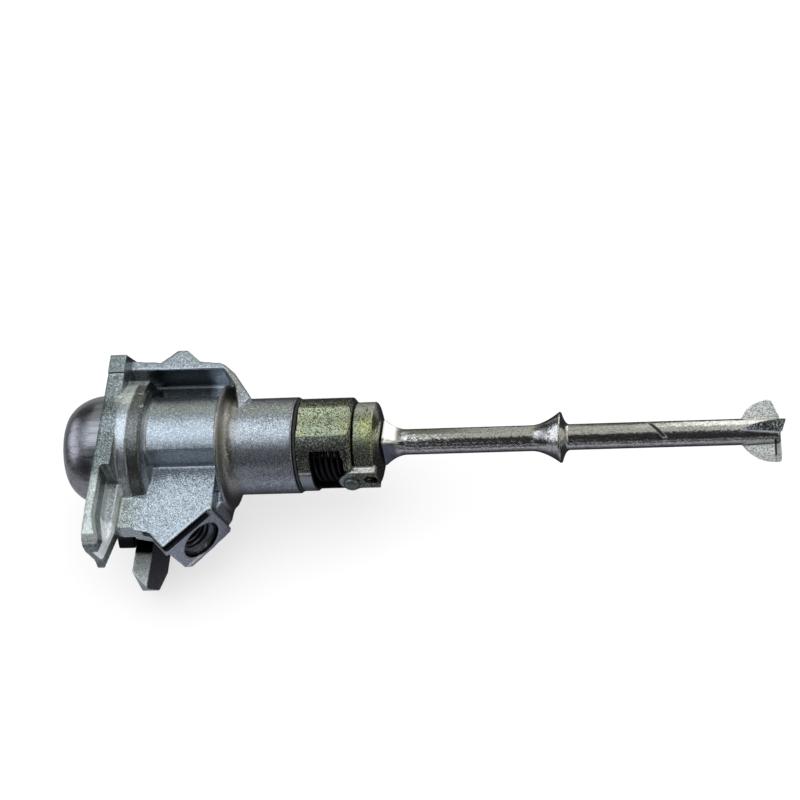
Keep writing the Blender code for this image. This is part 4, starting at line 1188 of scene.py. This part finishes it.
def rod_stations():
    """(x, half diagonal, squareness) along the rod."""
    shoulder_x, bell_x = ROOT_X + 0.6, COLLAR_X - 7.0
    stations = [(ROOT_X, ROOT_REACH - 0.25, 1.0), (ROOT_X + 0.25, ROOT_REACH, 1.0)]
    stations.append((shoulder_x, ROOT_REACH - 0.05, 1.0))
    for k in range(1, 17):
        t = k / 16
        reach = SHANK_R + (ROOT_REACH - SHANK_R - 0.05) * (1 - t) ** 2
        stations.append((shoulder_x + (ROOT_LENGTH - 0.6) * t, reach, 1 - t ** 1.5))
    stations += [(x, SHANK_R, 0.0) for x in (76.0, 84.0, 92.0, bell_x)]
    for k in range(1, 15):
        t = k / 14
        stations.append((bell_x + 6.6 * t, SHANK_R + (COLLAR_TOP_R - SHANK_R - 0.15) * t ** 1.7, 0.0))
    for k in range(5):
        a = math.pi / 2 * k / 4
        stations.append((COLLAR_X - 0.2 + 0.45 * math.sin(a), COLLAR_TOP_R - 0.25 + 0.25 * math.cos(a), 0.0))
    for k in range(1, 9):
        t = k / 8
        stations.append((COLLAR_X + 0.25 + 1.9 * t, SHANK_R + (COLLAR_TOP_R - 0.25 - SHANK_R) * (1 - t) ** 2.2, 0.0))
    stations += [(x, SHANK_R, 0.0) for x in (116.0, 128.0, 140.0, 150.0, ROD_END_X - 0.35)]
    return stations + [(ROD_END_X - 0.1, SHANK_R - 0.1, 0.0), (ROD_END_X, SHANK_R - 0.35, 0.0)]


def rod_body():
    bm = bmesh.new()
    rings = []
    for x, reach, squareness in rod_stations():
        ring = []
        for k in range(ROD_SEGMENTS):
            angle = 2 * math.pi * k / ROD_SEGMENTS
            folded = (angle + math.pi / 4) % (math.pi / 2) - math.pi / 4
            flat = reach * math.cos(math.pi / 4) / math.cos(abs(folded) - math.pi / 4)
            radius = reach * (1 - squareness) + min(flat, reach * 0.965) * squareness
            turn = angle + ROD_TILT
            ring.append(bm.verts.new((x * MM, -radius * math.sin(turn) * MM, radius * math.cos(turn) * MM)))
        rings.append(ring)
    return joined(bm, rings)


print("rod of", len(rod_stations()), "rings from", ROOT_X, "to", ROD_END_X)

# %% [markdown]
# ## The wings
# All four wings start alike where the blow first met the bar. Towards the end the one that
# faces the camera flares past the rod, the lower one has a sloped rim, and the upper one's
# rear edge leans forward.

# %% Wings
FLARE_X = 157.4
WING_START = ((150.2, 1.6, 0.30), (150.6, 3.3, 0.32), (151.6, 4.6, 0.50), (152.9, 5.7, 0.75), (154.4, 6.6, 1.00))
FLARED_WING = WING_START + (
    (155.9, 7.2, 1.20), (157.4, 7.5, 1.35), (159.2, 7.6, 1.50), (160.7, 7.6, 1.60), (161.0, 7.35, 1.55),
    (160.2, 5.4, 1.40), (159.5, 3.3, 1.20), (159.4, 1.6, 0.9))
SQUARE_WING = WING_START + (
    (155.9, 7.1, 1.25), (157.4, 7.35, 1.45), (158.8, 7.4, 1.60), (159.5, 7.25, 1.65), (159.8, 6.9, 1.60),
    (159.6, 1.6, 0.9))
SLOPED_WING = ((150.2, 1.6, 0.30), (150.6, 3.3, 0.32), (151.3, 4.7, 0.45), (152.4, 5.9, 0.60), (153.7, 6.7, 0.85),
               (155.1, 7.2, 1.05), (156.2, 7.45, 1.25), (157.2, 7.5, 1.40), (157.7, 7.3, 1.45), (158.3, 5.9, 1.50),
               (158.9, 4.4, 1.45), (159.4, 3.4, 1.3), (159.4, 1.6, 0.9))
WINGS = ((FLARED_WING, 1.0, 0.72), (SQUARE_WING, 0.66, 1.0), (SQUARE_WING, 1.0, 1.0), (SLOPED_WING, 1.0, 1.0))


def wing(outline, turn, near_share, far_share):
    """One coined wing: a wedge that rises and thickens towards the end, from (x, reach, half thickness).

    Its near side may rise less, by near_share, and its far side may flare less, by far_share.
    """
    bm = bmesh.new()
    sides = []
    for side, rise, flare in ((-1, 1.0, far_share), (1, near_share, 1.0)):
        row = []
        for x, reach, half in outline:
            risen = min(reach, SHANK_R) + max(reach - SHANK_R, 0.0) * rise
            flared = min(x, FLARE_X) + max(x - FLARE_X, 0.0) * flare
            row.append(bm.verts.new((flared, side * half, risen)))
        sides.append(row)
    bm.faces.new(sides[0])
    bm.faces.new(reversed(sides[1]))
    for k in range(len(outline)):
        nxt = (k + 1) % len(outline)
        bm.faces.new((sides[0][k], sides[1][k], sides[1][nxt], sides[0][nxt]))
    bmesh.ops.triangulate(bm, faces=bm.faces)
    bmesh.ops.recalc_face_normals(bm, faces=bm.faces)
    bmesh.ops.transform(bm, matrix=Matrix.Scale(MM, 4) @ Matrix.Rotation(turn, 4, "X"), verts=bm.verts)
    return bm


blank = bpy.data.meshes.new("rod_blank")
bm = rod_body()
for k, (outline, near_share, far_share) in enumerate(WINGS):
    part = bpy.data.meshes.new("wing")
    wedge = wing(outline, WING_TURN + k * math.pi / 2, near_share, far_share)
    wedge.to_mesh(part)
    wedge.free()
    bm.from_mesh(part)
bm.to_mesh(blank)
bm.free()
forged = modified(blank, [("REMESH", {"mode": "VOXEL", "voxel_size": ROD_VOXEL_MM * MM, "use_smooth_shade": True}),
                          ("SMOOTH", {"factor": 0.5, "iterations": 2})])
bm = bmesh.new()
bm.from_mesh(forged)
round_part = [(x, r) for x, r, squareness in rod_stations() if squareness == 0]
moved = true_up(bm, list(zip(round_part, round_part[1:])), 0.08)
print("rod:", sum(len(face.verts) - 2 for face in bm.faces), "triangles,", moved, "points trued up")
piece_from("forged_rod", bm, plating, "driver", ["rod"])

# %% [markdown]
# ## Finishes on the solids that stay
# A solid whose shape is already right keeps its mesh and only gets its metal.

# %% Paint the solids
def paint(name, finish):
    node = nodes[name]
    if not node.material_slots:
        node.data.materials.append(finish)
    for slot in node.material_slots:
        slot.material = finish


finish_of = {"housing": zinc, "plug": zinc, "face_cap": cap_steel, "driver_sleeve": chromate, "cam": chromate,
             "slip_sleeve": chromate, "rod": plating, "shutter": plating, "shutter_pin": plating,
             "cross_pin": pin_steel, "tail_clip": spring_wire, "return_spring": spring_wire,
             "shutter_spring": spring_wire, "seam_ring": rubber, "cap_gasket": rubber, "thrust_washer": brass}
for name in nodes:
    if name.startswith("wafer_spring"):
        finish_of[name] = spring_wire
    elif name.startswith("wafer"):
        finish_of[name] = brass
for name, finish in finish_of.items():
    paint(name, finish)
print("painted", len(finish_of))
